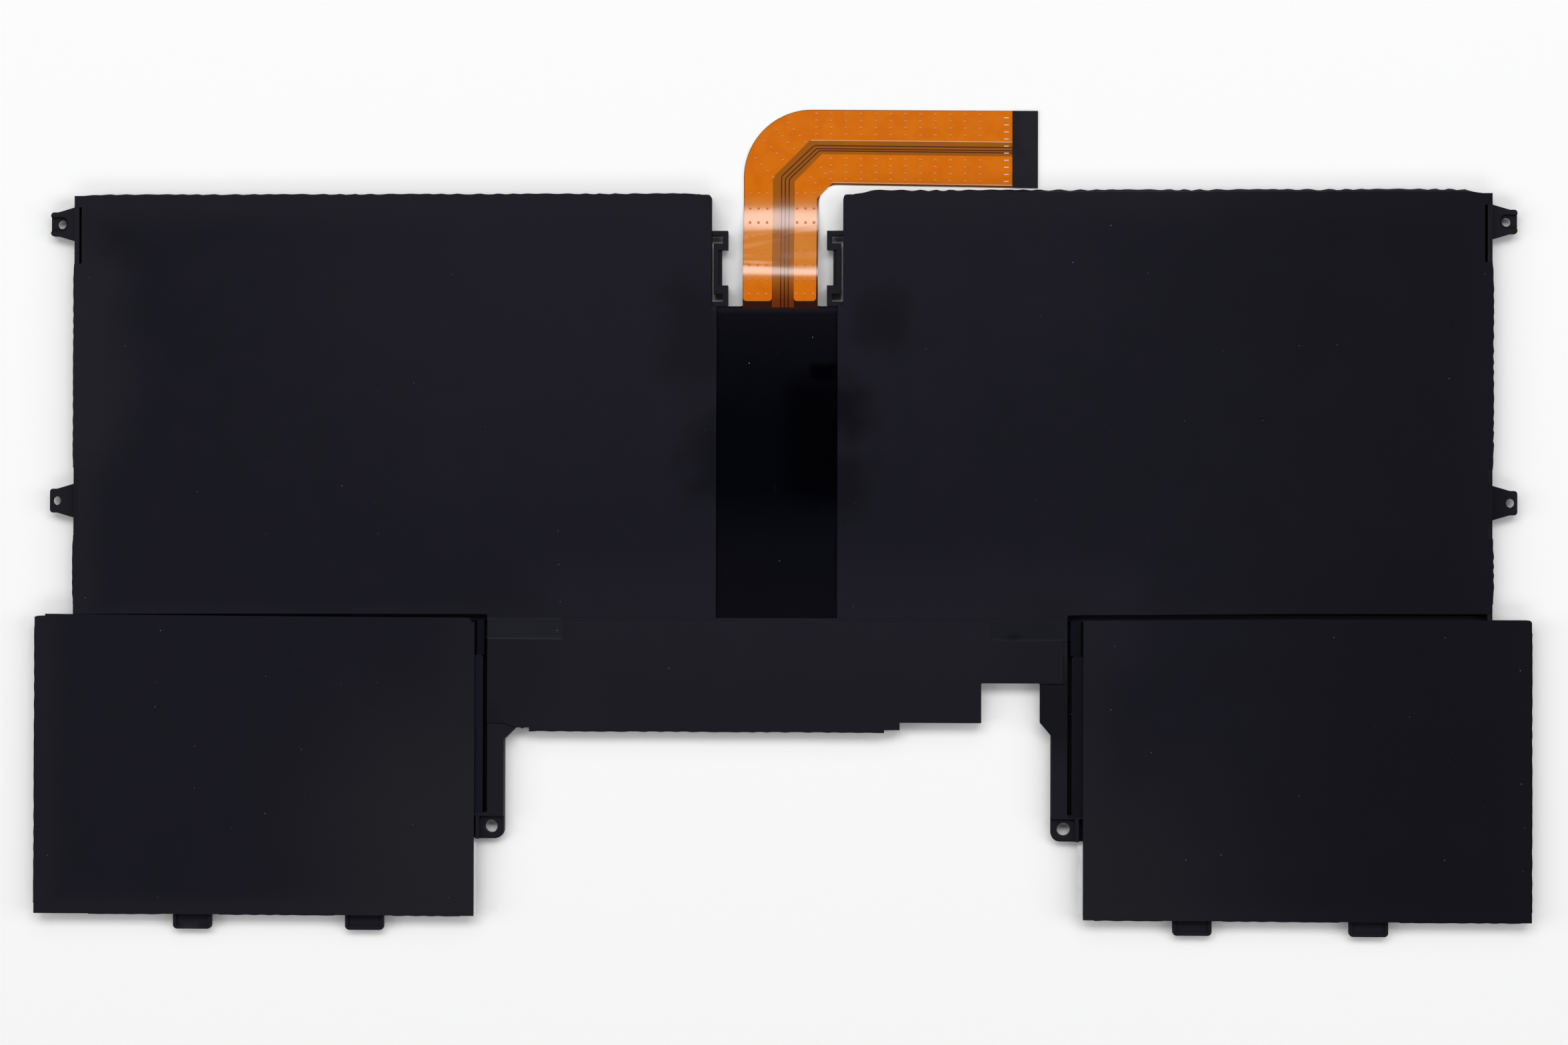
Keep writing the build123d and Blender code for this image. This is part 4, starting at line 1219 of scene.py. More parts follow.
@dataclass
class BoardFilm:
    """Film over the board bay, with its stepped and slightly wavy lower edge."""

    thickness: float = 0.08
    step: float = 1.8
    seam_strip: float = 0.6
    channel_half: float = 11.6
    arm_level: float = 20.1
    shoulder_start: float = -52.05
    shoulder_end: float = -49.65
    first_step: float = -47.15
    second_step: float = 20.5
    third_step: float = 23.45
    notch: float = 38.9
    levels: tuple[float, float, float, float, float] = (21.0, 21.76, 21.2, 19.8, 12.25)
    edge_width: float = 1.6
    edge_drop: float = 0.05
    wave_depth: float = 0.20
    wave_pitch: float = 3.5
    wave_phase: float = 0.7
    wave_ease: float = 3.0
    wave_row: float = 1.0
    sway: float = 0.01
    sway_x: float = 4.7
    sway_y: float = 3.1
    margin_start: float = 0.2
    inner_margin: float = 0.85
    arm_shade: float = 0.55
    arm_reach: Span = (0.6, 4.0)
    arm_fade: Span = (-14.0, -19.0)
    rim_width: float = 0.1
    rim_row: float = 0.25
    end_strip: float = 0.3
    end_top: float = -4.3

    def __post_init__(self) -> None:
        """Take the outer limits from the solid that the film stands for."""
        low, high = node_box("board_cover")
        self.left, self.right = low.x, high.x
        self.top, self.high = high.y, high.z

    def edge_at(self, x: float) -> float:
        """Lower edge of the film at a place along x."""
        first, second, third, fourth, fifth = self.levels
        if x < self.shoulder_start:
            return -self.arm_level
        if x < self.shoulder_end:
            share = (x - self.shoulder_start) / (self.shoulder_end - self.shoulder_start)
            return -self.arm_level + (self.arm_level - first) * share
        if x < self.first_step:
            return -first
        if x < self.second_step:
            return -second
        if x < self.third_step:
            return -third
        return -fourth if x < self.notch else -fifth

    def inside(self, x: float, y: float) -> bool:
        """Whether the film covers a place."""
        if y > -self.seam_strip:
            return abs(x) < self.channel_half
        return y > self.edge_at(x)

    def settled(self, x: float, y: float) -> Point:
        """Where a place of the straight film comes to lie."""
        if self.shoulder_start <= x <= self.shoulder_end:
            y = max(y, self.edge_at(x))
        above = y - self.edge_at(x)
        near = 1 - smooth(0.0, self.edge_width, above)
        ease = self.wave_ease
        long_edge = plateau(self.first_step, self.first_step + ease, self.second_step - ease,
                            self.second_step, x)
        wave = self.wave_depth * ripple(x, self.wave_pitch, self.wave_phase)
        sway = self.sway * math.sin(x / self.sway_x + math.sin(y / self.sway_y)) * smooth(0.0, ease, above)
        return x, y + wave * near * long_edge, self.high - self.edge_drop * near - self.sway + sway

    def margin(self, x: float, y: float) -> float:
        """How much a place takes the painted sheen: most of the film, and fully along its lower edge."""
        at_edge = 1 - smooth(self.margin_start, self.edge_width, y - self.edge_at(x))
        return self.inner_margin + (1 - self.inner_margin) * at_edge

    def shade_and_smudge(self, x: float, y: float) -> float:
        """How much a place takes painted shade: over the arm, along the lower rim and at the right end."""
        near, far = self.arm_reach
        over_arm = 1 - smooth(self.left + near, self.left + far, x)
        over_arm *= self.arm_shade * smooth(*self.arm_fade, y)
        rim = self.first_step < x < self.notch and y < self.edge_at(x) + self.rim_width
        end = x > self.right - self.rim_width and y < self.end_top
        return max(over_arm, float(rim or end))

    def build(self) -> bpy.types.Object:
        """Build and dress the film.

        Returns:
            The film.
        """
        bends = (self.shoulder_start, self.shoulder_end, self.first_step, self.second_step, self.third_step,
                 self.notch, -self.channel_half, self.channel_half)
        lines_x = spaced((self.left, *bends, self.right - self.end_strip, self.right), self.step / 2)
        rises = [-level for level in self.levels] + [self.wave_row - self.levels[1], -self.arm_level]
        rises += [self.rim_row - level for level in self.levels[1:4]]
        lines_y = spaced((*rises, -self.seam_strip, self.top), self.step)
        film = Sheet("board_film")
        film.cut(lines_x, lines_y, self.settled, self.inside)
        obj = film.make(self.thickness, {"margin": self.margin, "shade_and_smudge": self.shade_and_smudge})
        return place(obj, COVER_FILM, "cover_film", "board_cover")


@dataclass(frozen=True)
class Crease:
    """Straight crease in a tape, raised or sunk by its height."""

    start: Plan
    end: Plan
    height: float
    width: float

    def lift(self, x: float, y: float) -> float:
        """Height that the crease adds at a place."""
        along = Vector(self.end) - Vector(self.start)
        offset = Vector((x, y)) - Vector(self.start)
        share = min(1.0, max(0.0, offset.dot(along) / along.length_squared))
        away = (offset - along * share).length
        return self.height * math.exp(-(away / self.width) ** 2)


@dataclass
class ChannelTape:
    """Tape over the channel, tented over the flex below it and folded over the end of the deck."""

    thickness: float = 0.06
    step: float = 0.8
    tent: float = 0.9
    flex_rise: float = 0.15
    clearance: float = 0.015
    seam_lap: float = 0.6
    edge_wave: float = 0.10
    edge_pitch: float = 9.0
    edge_phases: tuple[float, float] = (2.3, 1.0)
    edge_trim: float = 0.9
    edge_power: int = 10
    edge_strip: float = 0.5
    front_length: float = 2.0
    front_drop: float = 0.07
    front_radius: float = 0.88
    front_fold: float = 0.40
    front_step: float = 0.15
    front_back: float = 0.75
    front_light: Span = (0.25, 0.8)
    clip_tip: float = 9.43
    sheen_along: tuple[Plan, ...] = (
        (0.0, 0.42), (7.0, 0.36), (13.0, 0.31), (19.0, 0.21), (25.0, 0.05), (37.0, 0.05), (43.0, 0.18),
        (48.0, 0.23), (52.0, 0.31), (57.0, 0.44), (60.0, 0.55))
    tear: float = 0.15
    creases: tuple[Crease, ...] = (
        Crease((2.6, 58.3), (1.6, 52.6), 0.035, 0.30),
        Crease((-4.0, 34.3), (-4.0, 26.6), -0.030, 0.35),
        Crease((4.6, 32.7), (4.6, 24.0), -0.030, 0.35),
        Crease((-3.4, 6.3), (-2.2, 5.6), 0.030, 0.30),
    )

    def __post_init__(self) -> None:
        """Take the outer limits from the solids of the tape and the flex."""
        low, high = node_box("channel_tape")
        self.left, self.right = low.x, high.x
        self.low, self.front = -self.seam_lap, high.y
        self.high = high.z
        flex_low, _ = node_box("flex_circuit")
        self.flex_left = flex_low.x
        self.flex_right = self.flex_left + FLEX_WIDTH

    def over_flex(self, x: float) -> float:
        """How much a place lies on the flex."""
        left, right = self.flex_left, self.flex_right
        return plateau(left - self.tent, left, right, right + self.tent, x)

    def fold(self, x: float, length: float) -> Plan:
        """Where the front of the tape comes to lie beside the flex, between the clips.

        Args:
            x: place across the tape.
            length: length of tape from the start of the fold.

        Returns:
            How far forward and how far down it lies from there.
        """
        share = 0.0 if abs(x) > self.clip_tip else 1 - self.over_flex(x)
        radius = self.front_radius
        quarter = radius * math.pi / 2
        angle = min(math.pi / 2, length / radius)
        rest = max(0.0, length - quarter)
        flat = radius * length / (quarter + self.front_fold)
        forward = flat + (radius * math.sin(angle) - flat) * share
        return forward, (radius * (1 - math.cos(angle)) + rest) * share

    def settled(self, x: float, y: float) -> Point:
        """Where a place of the flat tape comes to lie."""
        over = self.over_flex(x)
        height = self.high - self.flex_rise * (1 - over)
        height -= self.front_drop * smooth(self.front - self.front_length, self.front, y) * over
        height += sum(crease.lift(x, y) for crease in self.creases)
        edge = (abs(x) / self.right) ** self.edge_power
        wave = self.edge_wave * (ripple(y, self.edge_pitch, self.edge_phases[x > 0]) - self.edge_trim)
        start = self.front - self.front_radius
        forward, down = self.fold(x, max(0.0, y - start))
        height = min(height, self.high) - self.clearance - down
        return x + math.copysign(edge * wave, x), min(y, start) + forward, height

    def margin(self, x: float, y: float) -> float:
        """How much a place takes the painted sheen: on the rounded front edge, and by a profile along the
        tape that is strongest towards both ends.
        """
        front = 1 - smooth(*self.front_light, abs(y - self.front + self.front_back))
        return max(front, along_line(self.sheen_along, y))

    def build(self) -> bpy.types.Object:
        """Build and dress the tape.

        Returns:
            The tape.
        """
        tips = (self.clip_tip, self.clip_tip + self.tear)
        stops_x = (self.left, self.left + self.edge_strip, self.flex_left - self.tent, self.flex_left,
                   *(-tip for tip in tips), self.flex_right, self.flex_right + self.tent,
                   self.right - self.edge_strip, self.right, *tips)
        lines_x = spaced(stops_x, self.step / 2)
        start = self.front - self.front_radius
        end = start + self.front_radius * math.pi / 2
        lines_y = spaced((self.low, self.front - self.front_length, start), self.step)
        lines_y += spaced((start, end, end + self.front_fold), self.front_step)[1:]
        tape = Sheet("channel_tape_skin")
        tape.cut(lines_x, lines_y, self.settled)
        obj = tape.make(self.thickness, {"margin": self.margin})
        return place(obj, BLACK_TAPE, "black_tape", "channel_tape")


@dataclass
class TapePatch:
    """Small piece of tape with rounded corners and edges that settle onto what lies below."""

    node: str
    corner: float = 0.15
    curl: float = 0.03
    step: float = 0.45
    thickness: float = 0.05
    phase: float = 0.0
    # light and edge_light set the painted highlight, evenly over the patch and along its lower edge.
    light: float = 0.0
    edge_light: float = 1.0
    edge_line: Span = (0.05, 0.35)
    smudge: Plan = (0.0, 0.0)
    smudge_half: Plan = (2.6, 0.9)
    settle_width: float = 0.7
    swell_depth: float = 0.007
    swell_turns: Point = (0.9, 1.7, 0.6)

    def build(self) -> bpy.types.Object:
        """Build and dress the patch.

        Returns:
            The patch.
        """
        low, high = node_box(self.node)
        reach = self.corner
        lines_x = spaced((low.x, low.x + reach, high.x - reach, high.x), self.step)
        lines_y = spaced((low.y, low.y + reach, high.y - reach, high.y), self.step)

        def inset(x: float, y: float) -> float:
            """Distance of a place from the nearest edge."""
            return min(x - low.x, high.x - x, y - low.y, high.y - y)

        def settled(x: float, y: float) -> Point:
            """Where a place of the flat patch comes to lie."""
            across, up, lean = self.swell_turns
            swell = 0.5 + 0.5 * math.sin(across * x + self.phase) * math.sin(up * y + lean * x)
            edge = 1 - smooth(0.0, self.settle_width, inset(x, y))
            z = high.z - self.curl * edge - self.swell_depth * swell
            middle = Vector(((low.x + high.x) / 2, (low.y + high.y) / 2))
            corner = Vector((max(0.0, abs(x - middle.x) - (high.x - low.x) / 2 + reach),
                             max(0.0, abs(y - middle.y) - (high.y - low.y) / 2 + reach))) / reach
            if corner.x > 0 and corner.y > 0:
                pull_x = reach * corner.x * (1 - math.sqrt(1 - corner.y ** 2 / 2))
                pull_y = reach * corner.y * (1 - math.sqrt(1 - corner.x ** 2 / 2))
                x -= math.copysign(pull_x, x - middle.x)
                y -= math.copysign(pull_y, y - middle.y)
            return x, y, z

        def margin(x: float, y: float) -> float:
            """How much a place takes the painted highlight, along the lower edge and evenly over the patch.
            """
            return self.light + (self.edge_light - self.light) * (1 - smooth(*self.edge_line, y - low.y))

        def shade_and_smudge(x: float, y: float) -> float:
            """How much a place lies in the dark smudge."""
            offset = Vector((x, y)) - Vector(self.smudge)
            away = Vector((offset.x / self.smudge_half[0], offset.y / self.smudge_half[1])).length
            return 1 - smooth(0.0, 1.0, away)

        patch = Sheet(f"{self.node}_skin")
        patch.cut(lines_x, lines_y, settled)
        obj = patch.make(self.thickness, {"margin": margin, "shade_and_smudge": shade_and_smudge})
        return place(obj, PATCH_TAPE, "patch_tape", self.node)


@dataclass
class LeadTape:
    """Tape over a lower cell's tabs, with the tongue that follows them into the bay; painted shade makes the
    tongue and the tape's edges black.
    """

    side: Side
    dark_from: float
    bay_edge: float = 55.15
    gap: float = 0.55
    tongue: Span = (-4.245, -1.655)
    joint_fade: float = 0.2
    edge_fade: float = 0.15
    thickness: float = 0.05
    step: float = 0.6

    def build(self) -> bpy.types.Object:
        """Build and dress the tape.

        Returns:
            The tape.
        """
        node = f"{self.side.word}_lead_tape"
        low, high = node_box(node)
        inner, outer = sorted((abs(low.x), abs(high.x)))
        joint = self.bay_edge + self.gap
        tape_start, dark_end = joint + self.joint_fade, self.dark_from + self.edge_fade
        lines_x = spaced((inner, joint, tape_start, self.dark_from, dark_end, outer), self.step)
        lines_y = spaced((low.y, *self.tongue, high.y), self.step)

        def inside(x: float, y: float) -> bool:
            """Whether the tape covers a place."""
            return x > joint or self.tongue[0] < y < self.tongue[1]

        def shadow(x: float, y: float) -> float:
            """How much a place takes the painted shade beside the bay and under the cover's edge."""
            return max(1 - smooth(joint, tape_start, x), smooth(self.dark_from, dark_end, x))

        tape = Sheet(f"{node}_skin", self.side)
        tape.cut(lines_x, lines_y, lambda x, y: (x, y, high.z), inside)
        obj = tape.make(self.thickness, {"shade_and_smudge": shadow})
        return place(obj, LEAD_TAPE, "patch_tape", node)


@dataclass
class FlexCircuit:
    """Flex circuit: amber film with two copper pours, signal gaps between them and rows of vias."""

    thickness: float = 0.13
    seat: float = 0.15
    copper: float = 0.016
    strip_lift: float = 0.004
    gap_lift: float = 0.010
    line_lift: float = 0.006
    line_thickness: float = 0.006
    bends_left: tuple[float, float, float, float] = (64.7, 67.15, 73.7, 79.4)
    bends_right: tuple[float, float, float, float] = (64.6, 66.6, 73.7, 79.5)
    streaks: tuple[tuple[float, float, float], ...] = (
        (72.2, 74.6, 0.014), (70.4, 73.4, 0.008), (68.4, 66.9, 0.010))
    streak_width: float = 0.65
    buckled: tuple[float, float, float] = (66.0, 68.5, 73.0)
    buckle_depth: float = 0.02
    buckle_turns: tuple[Plan, Plan] = ((0.30, -0.55), (0.15, 0.35))
    first_bend: tuple[float, float, float, float] = (63.8, 64.9, 66.4, 67.4)
    second_bend: tuple[float, float, float] = (73.0, 74.6, 79.0)
    pale_stretch: tuple[float, float, float] = (63.8, 65.5, 78.0)
    shade_reach: Span = (-0.6, 5.0)
    width: float = FLEX_WIDTH
    end_width: float = 14.7
    end_drop: float = 0.38
    outer_radius: float = 13.0
    inner_radius: float = 3.6
    flat_start: float = 81.8
    stiffener: float = 4.85
    film_border: float = 0.10
    inner_border: float = 0.34
    strip_left: float = 5.54
    strip_right: float = 9.72
    strip_top: float = 5.90
    strip_bottom: float = 8.50
    pour_end: float = 60.3
    trace_lap: float = 1.2
    pour_corner: float = 0.62
    pour_chamfer: float = 3.0
    strip_mitre: float = 7.04
    strip_cut: float = 5.2
    gap_width: float = 0.25
    gap_turn: float = 0.6
    gap_corner: float = 0.8
    signal_gaps: tuple[tuple[Plan, Plan], ...] = (
        ((7.22, 12.74), (13.42, 6.86)),
        ((7.94, 13.12), (13.88, 7.44)),
        ((8.67, 13.29), (14.37, 7.85)),
    )
    line_width: float = 0.14
    bright_start: float = 7.3
    bright_stops: tuple[float, float] = (12.0, 9.0)
    via_radius: float = 0.28
    via_height: float = 0.05
    via_thickness: float = 0.01
    via_sides: int = 10
    via_rings: tuple[Plan, ...] = ((1.0, 0.0), (0.85, 0.32), (0.62, 0.70), (0.32, 0.94))
    via_stem: tuple[float, float] = (1.22, 0.47)
    via_pitch_x: float = 1.62
    via_row_pitch: float = 2.78
    via_first_row: float = 61.6
    via_rows: int = 8
    via_stem_across: int = 3
    via_run_across: int = 4
    via_first_column: float = 13.83
    via_column_pitch: float = 2.84
    via_column_step: float = 1.31
    via_columns: int = 12
    via_depths: tuple[tuple[float, int], ...] = ((0.78, 0), (9.35, 1))
    via_arc_radius: float = 11.4
    via_arc_angles: tuple[float, ...] = (19.0, 38.0, 53.0, 66.0)
    via_arc_step: Plan = (1.14, 1.22)
    via_corner_starts: tuple[Plan, ...] = ((14.75, 11.2), (12.75, 13.0))
    via_corner_step: Plan = (0.9, 1.1)
    tick_count: int = 10
    tick_length: float = 0.9
    tick_width: float = 0.16
    tick_gap: float = 0.7
    tick_lift: float = 0.008
    contact_width: float = 0.85
    bend_step: float = 0.22
    straight_step: float = 1.5
    columns: int = 8
    corner_rows: int = 6
    arc_points: int = 22

    def __post_init__(self) -> None:
        """Take the outer limits from the solid that the flex stands for."""
        low, high = node_box("flex_circuit")
        self.left, self.reach = low.x, high.x
        self.right = self.left + self.width
        self.low, self.top = low.y, high.y
        self.table, self.deck = low.z + self.seat, high.z
        self.flex_end = self.reach - self.stiffener

    def height(self, x: float, y: float) -> float:
        """Height of the upper face: flat on the deck, down the two bends and flat on the table.

        The slope grows along the first bend, stays, and fades along the second one.
        """
        share = smooth(self.left, self.right, x)
        start, steep, easing, end = [low + (high - low) * share
                                     for low, high in zip(self.bends_left, self.bends_right)]
        slope = (self.deck - self.table) / ((steep - start) / 2 + easing - steep + (end - easing) / 2)
        fall = slope * min(max(0.0, y - start), steep - start) ** 2 / (steep - start) / 2
        fall += slope * min(max(0.0, y - steep), easing - steep)
        rest = min(max(0.0, end - y), end - easing)
        fall += slope * ((end - easing) / 2 - rest ** 2 / (end - easing) / 2)
        return self.deck - fall

    def buckle(self, x: float, y: float) -> float:
        """Small unevenness of the bent stretch."""
        inside = plateau(*self.buckled, self.flat_start, y)
        rise = self.buckle_depth
        for across, up in self.buckle_turns:
            rise *= math.sin(across * x + up * y)
        for left, right, depth in self.streaks:
            middle = left + (right - left) * (x - self.left) / self.width
            rise += depth * math.exp(-((y - middle) / self.streak_width) ** 2)
        return inside * rise

    def on_top(self, x: float, y: float, lift: float = 0.0) -> Point:
        """Point on the upper face, raised by a lift."""
        return x, y, self.height(x, y) + self.buckle(x, y) + lift

    def slanted(self, x: float, y: float) -> Plan:
        """Place of the straight drawing on the run to the right, which falls a little towards its end."""
        share = max(0.0, (x - self.right) / (self.reach - self.right))
        depth = (self.top - y) / self.width
        return x, y - share * (self.end_drop + (self.end_width - self.width) * depth)

    def rows(self, low: float, high: float) -> list[float]:
        """Rows along the upright stretch, closer together in the bend."""
        stops = [low, high]
        bend = self.bends_right[0]
        stops += [stop for stop in (bend, self.flat_start) if low < stop < high]
        lines = []
        for start, end in zip(sorted(stops), sorted(stops)[1:]):
            bent = start >= bend - TOLERANCE and end <= self.flat_start + TOLERANCE
            lines += spaced((start, end), self.bend_step if bent else self.straight_step)
        return sorted(set(round(line, 6) for line in lines))

    def arc(self, centre: Plan, radius: float, start: float, end: float) -> list[Plan]:
        """Points along an arc.

        Args:
            centre: centre of the arc.
            radius: its radius.
            start: angle at its start, in degrees.
            end: angle at its end, in degrees.

        Returns:
            The points, both ends included.
        """
        step = math.radians(end - start) / self.arc_points
        angles = [math.radians(start) + step * i for i in range(self.arc_points + 1)]
        return [(centre[0] + radius * math.cos(a), centre[1] + radius * math.sin(a)) for a in angles]

    def sheet(self, name: str, limits: Callable[[float], Span], low: float, flat: list[Plan],
              lift: float, thickness: float, finish: Finish, *nodes: str) -> bpy.types.Object:
        """Build a layer: an upright stretch with bends and a flat stretch that continues it.

        Args:
            name: name of the layer.
            limits: left and right limit of the upright stretch at a place along y.
            low: lower end of the upright stretch.
            flat: outline of the flat stretch from its lower right to its lower left, the lower edge left out.
            lift: height above the film's upper face.
            thickness: thickness of the layer.
            finish: its finish.
            nodes: solids that the layer stands for.

        Returns:
            The layer.
        """
        layer = Sheet(name)
        shares = [i / self.columns for i in range(self.columns + 1)]
        grid = []
        turns = [math.pi / 2 * (i + 1) / self.corner_rows for i in range(self.corner_rows)]
        lower_end = [low + self.pour_corner * (1 - math.cos(turn)) for turn in turns]
        for y in sorted(self.rows(low, self.flat_start) + lower_end):
            start, end = limits(y)
            grid.append([self.on_top(start + (end - start) * share, y, lift) for share in shares])
        layer.patch(grid)
        layer.face(grid[-1] + [self.on_top(*self.slanted(x, y), lift) for x, y in flat])
        obj = layer.make(thickness, {"shade": self.shade, "bent": self.bent, "stretched": self.stretched})
        return place(obj, finish, "flex_film", *nodes)

    def shade(self, x: float, y: float) -> float:
        """How much a place lies in the dim end beside the tape."""
        return 1 - smooth(*self.shade_reach, y - self.pour_end)

    def bent(self, x: float, y: float) -> float:
        """How much a place belongs to one of the two bends, whose faces are less glossy."""
        return max(plateau(*self.first_bend, y), plateau(*self.second_bend, self.flat_start, y))

    def stretched(self, x: float, y: float) -> float:
        """How much a place belongs to the stretch from one bend to the other, which takes a painted
        reflection.
        """
        return plateau(*self.pale_stretch, self.flat_start, y)

    def film(self) -> bpy.types.Object:
        """Amber film, the whole outline of the flex."""
        outer = (self.left + self.outer_radius, self.top - self.outer_radius)
        inner = (self.right + self.inner_radius, self.top - self.width - self.inner_radius)
        flat = self.arc(inner, self.inner_radius, 180, 90)
        flat += [(self.reach, self.top - self.width), (self.reach, self.top)]
        flat += self.arc(outer, self.outer_radius, 90, 180)
        return self.sheet("flex_film", lambda y: (self.left, self.right), self.low, flat, 0.0,
                          self.thickness, FLEX_FILM, "flex_circuit")

    def strip(self) -> bpy.types.Object:
        """Film over the signal traces, between the two pours."""
        start, end = self.left + self.strip_left, self.left + self.strip_right
        upper, lower = self.top - self.strip_top, self.top - self.strip_bottom
        flat = [(end, lower - self.strip_cut), (end + self.strip_cut, lower), (self.flex_end, lower)]
        flat += [(self.flex_end, upper), (start + self.strip_mitre, upper), (start, upper - self.strip_mitre)]
        return self.sheet("flex_signal_strip", lambda y: (start, end), self.pour_end - self.trace_lap, flat,
                          self.strip_lift, self.strip_lift, FLEX_STRIP)

    def pour_limits(self, start: float, end: float) -> Callable[[float], Span]:
        """Limits of a pour's upright stretch, with the rounded corners of its lower end.

        Args:
            start: left edge.
            end: right edge.

        Returns:
            A function that gives the left and the right limit at a place along y.
        """
        radius = self.pour_corner

        def limits(y: float) -> Span:
            """Left and right limit at a place along y."""
            rise = min(radius, y - self.pour_end)
            pull = radius - math.sqrt(radius ** 2 - (radius - rise) ** 2)
            return start + pull, end - pull

        return limits

    def pours(self) -> list[bpy.types.Object]:
        """The two copper pours on either side of the signal strip."""
        edge = self.left + self.film_border
        strip_left, strip_right = self.left + self.strip_left, self.left + self.strip_right
        strip_top, strip_bottom = self.top - self.strip_top, self.top - self.strip_bottom
        radius = self.outer_radius - self.film_border
        outer = (self.left + self.outer_radius, self.top - self.outer_radius)
        upper = [(strip_left, strip_top - self.strip_mitre), (strip_left + self.strip_mitre, strip_top)]
        upper += [(self.flex_end, strip_top), (self.flex_end, self.top - self.film_border)]
        upper += self.arc(outer, radius, 90, 180)
        right = self.right - self.inner_border
        low = self.top - self.width + self.inner_border
        lower = [(right, low - self.pour_chamfer), (right + self.pour_chamfer, low), (self.flex_end, low)]
        lower += [(self.flex_end, strip_bottom), (strip_right + self.strip_cut, strip_bottom),
                  (strip_right, strip_bottom - self.strip_cut)]
        pours = (("flex_upper_pour", edge, strip_left, upper), ("flex_lower_pour", strip_right, right, lower))
        return [self.sheet(name, self.pour_limits(start, end), self.pour_end, flat, self.copper, self.copper,
                           FLEX_COPPER) for name, start, end, flat in pours]

    def ribbon(self, layer: Sheet, path: Sequence[Plan], width: float, lift: float) -> None:
        """Add a narrow line along a path to a layer.

        Args:
            layer: sheet that takes the line.
            path: places along its middle.
            width: width of the line.
            lift: height above the film's upper face.
        """
        rows = []
        for i, (x, y) in enumerate(path):
            before, after = path[max(0, i - 1)], path[min(len(path) - 1, i + 1)]
            along = Vector((after[0] - before[0], after[1] - before[1])).normalized()
            across = Vector((along.y, -along.x)) * width / 2
            rows.append([self.on_top(x + across.x * s, y + across.y * s, lift) for s in (-1, 1)])
        layer.patch(rows)

    def strip_path(self, first: Plan, second: Plan) -> list[Plan]:
        """Path of one signal gap: up, across the corner and to the right.

        Args:
            first: end of its upright stretch, from the left edge and below the upper edge.
            second: start of its level stretch, measured in the same way.

        Returns:
            Places along the path.
        """
        turn = self.gap_turn
        low = Vector((self.left + first[0], self.top - first[1]))
        high = Vector((self.left + second[0], self.top - second[1]))
        aslant = (high - low).normalized() * turn
        below, beyond = low - Vector((0, turn)), high + Vector((turn, 0))
        ease = (1 - self.gap_corner) / 2
        path = [(low.x, row) for row in self.rows(self.pour_end - self.trace_lap, below.y)]
        path += [tuple(spot) for spot in (
            low * self.gap_corner + (below + low + aslant) * ease, low + aslant,
            high - aslant, high * self.gap_corner + (high - aslant + beyond) * ease, beyond)]
        return path + [self.slanted(self.flex_end, high.y)]

    def gaps(self) -> bpy.types.Object:
        """Dark gaps between the signal traces."""
        layer = Sheet("flex_signal_gaps")
        for first, second in self.signal_gaps:
            self.ribbon(layer, self.strip_path(first, second), self.gap_width, self.gap_lift)
        obj = layer.make(self.line_thickness, {"shade": self.shade, "bent": self.bent})
        return place(obj, FLEX_GAP, "flex_film")

    def edge_highlights(self) -> bpy.types.Object:
        """Painted highlight along the lower edges of the two pours on the level stretch."""
        layer = Sheet("flex_edge_highlights")
        after, before = self.bright_stops
        upper_start = self.left + self.strip_left + self.bright_start
        lower_start = self.right - self.inner_border + self.pour_chamfer
        for start, depth in ((upper_start, self.strip_top), (lower_start, self.width - self.inner_border)):
            ends = [self.slanted(x, self.top - depth + self.line_width / 2)
                    for x in (start, start + after, self.flex_end - before, self.flex_end)]
            self.ribbon(layer, ends, self.line_width, self.copper + self.line_lift)
        return place(layer.make(self.line_thickness), FLEX_EDGE_HIGHLIGHT, "flex_film")

    def via_places(self) -> list[Plan]:
        """Places of the vias in both pours: up the stem, along the run and aslant at the corner."""
        first, second = self.via_stem
        places = [(x + self.via_pitch_x * i, self.via_first_row + self.via_row_pitch * row)
                  for x in (self.left + first, self.left + self.strip_right + second)
                  for i in range(self.via_stem_across) for row in range(self.via_rows)]
        for depth, skip in self.via_depths:
            for column in range(skip, self.via_columns):
                x = self.left + self.via_first_column + self.via_column_pitch * column
                places += [self.slanted(x, self.top - depth - self.via_column_step * i)
                           for i in range(self.via_run_across)]
        centre = (self.left + self.outer_radius, self.top - self.outer_radius)
        radius = self.via_arc_radius
        right, down = self.via_arc_step
        for turn in map(math.radians, self.via_arc_angles):
            x, y = centre[0] - radius * math.cos(turn), centre[1] + radius * math.sin(turn)
            places += [(x + right * i, y - down * i) for i in range(self.via_run_across)]
        right, down = self.via_corner_step
        for x, y in self.via_corner_starts:
            places += [(self.left + x + right * i, self.top - y - down * i)
                       for i in range(self.via_stem_across)]
        return places

    def vias(self) -> bpy.types.Object:
        """Low domes over the plated holes."""
        layer = Sheet("flex_vias")
        turns = [2 * math.pi * i / self.via_sides for i in range(self.via_sides + 1)]
        for x, y in self.via_places():
            rings = []
            for share, rise in self.via_rings:
                radius = self.via_radius * share
                lift = self.copper + self.via_height * rise
                rings.append([self.on_top(x + radius * math.cos(turn), y + radius * math.sin(turn), lift)
                              for turn in turns])
            layer.patch(rings)
            layer.face(rings[-1][:-1])
        return place(layer.make(self.via_thickness), FLEX_VIA, "flex_film")

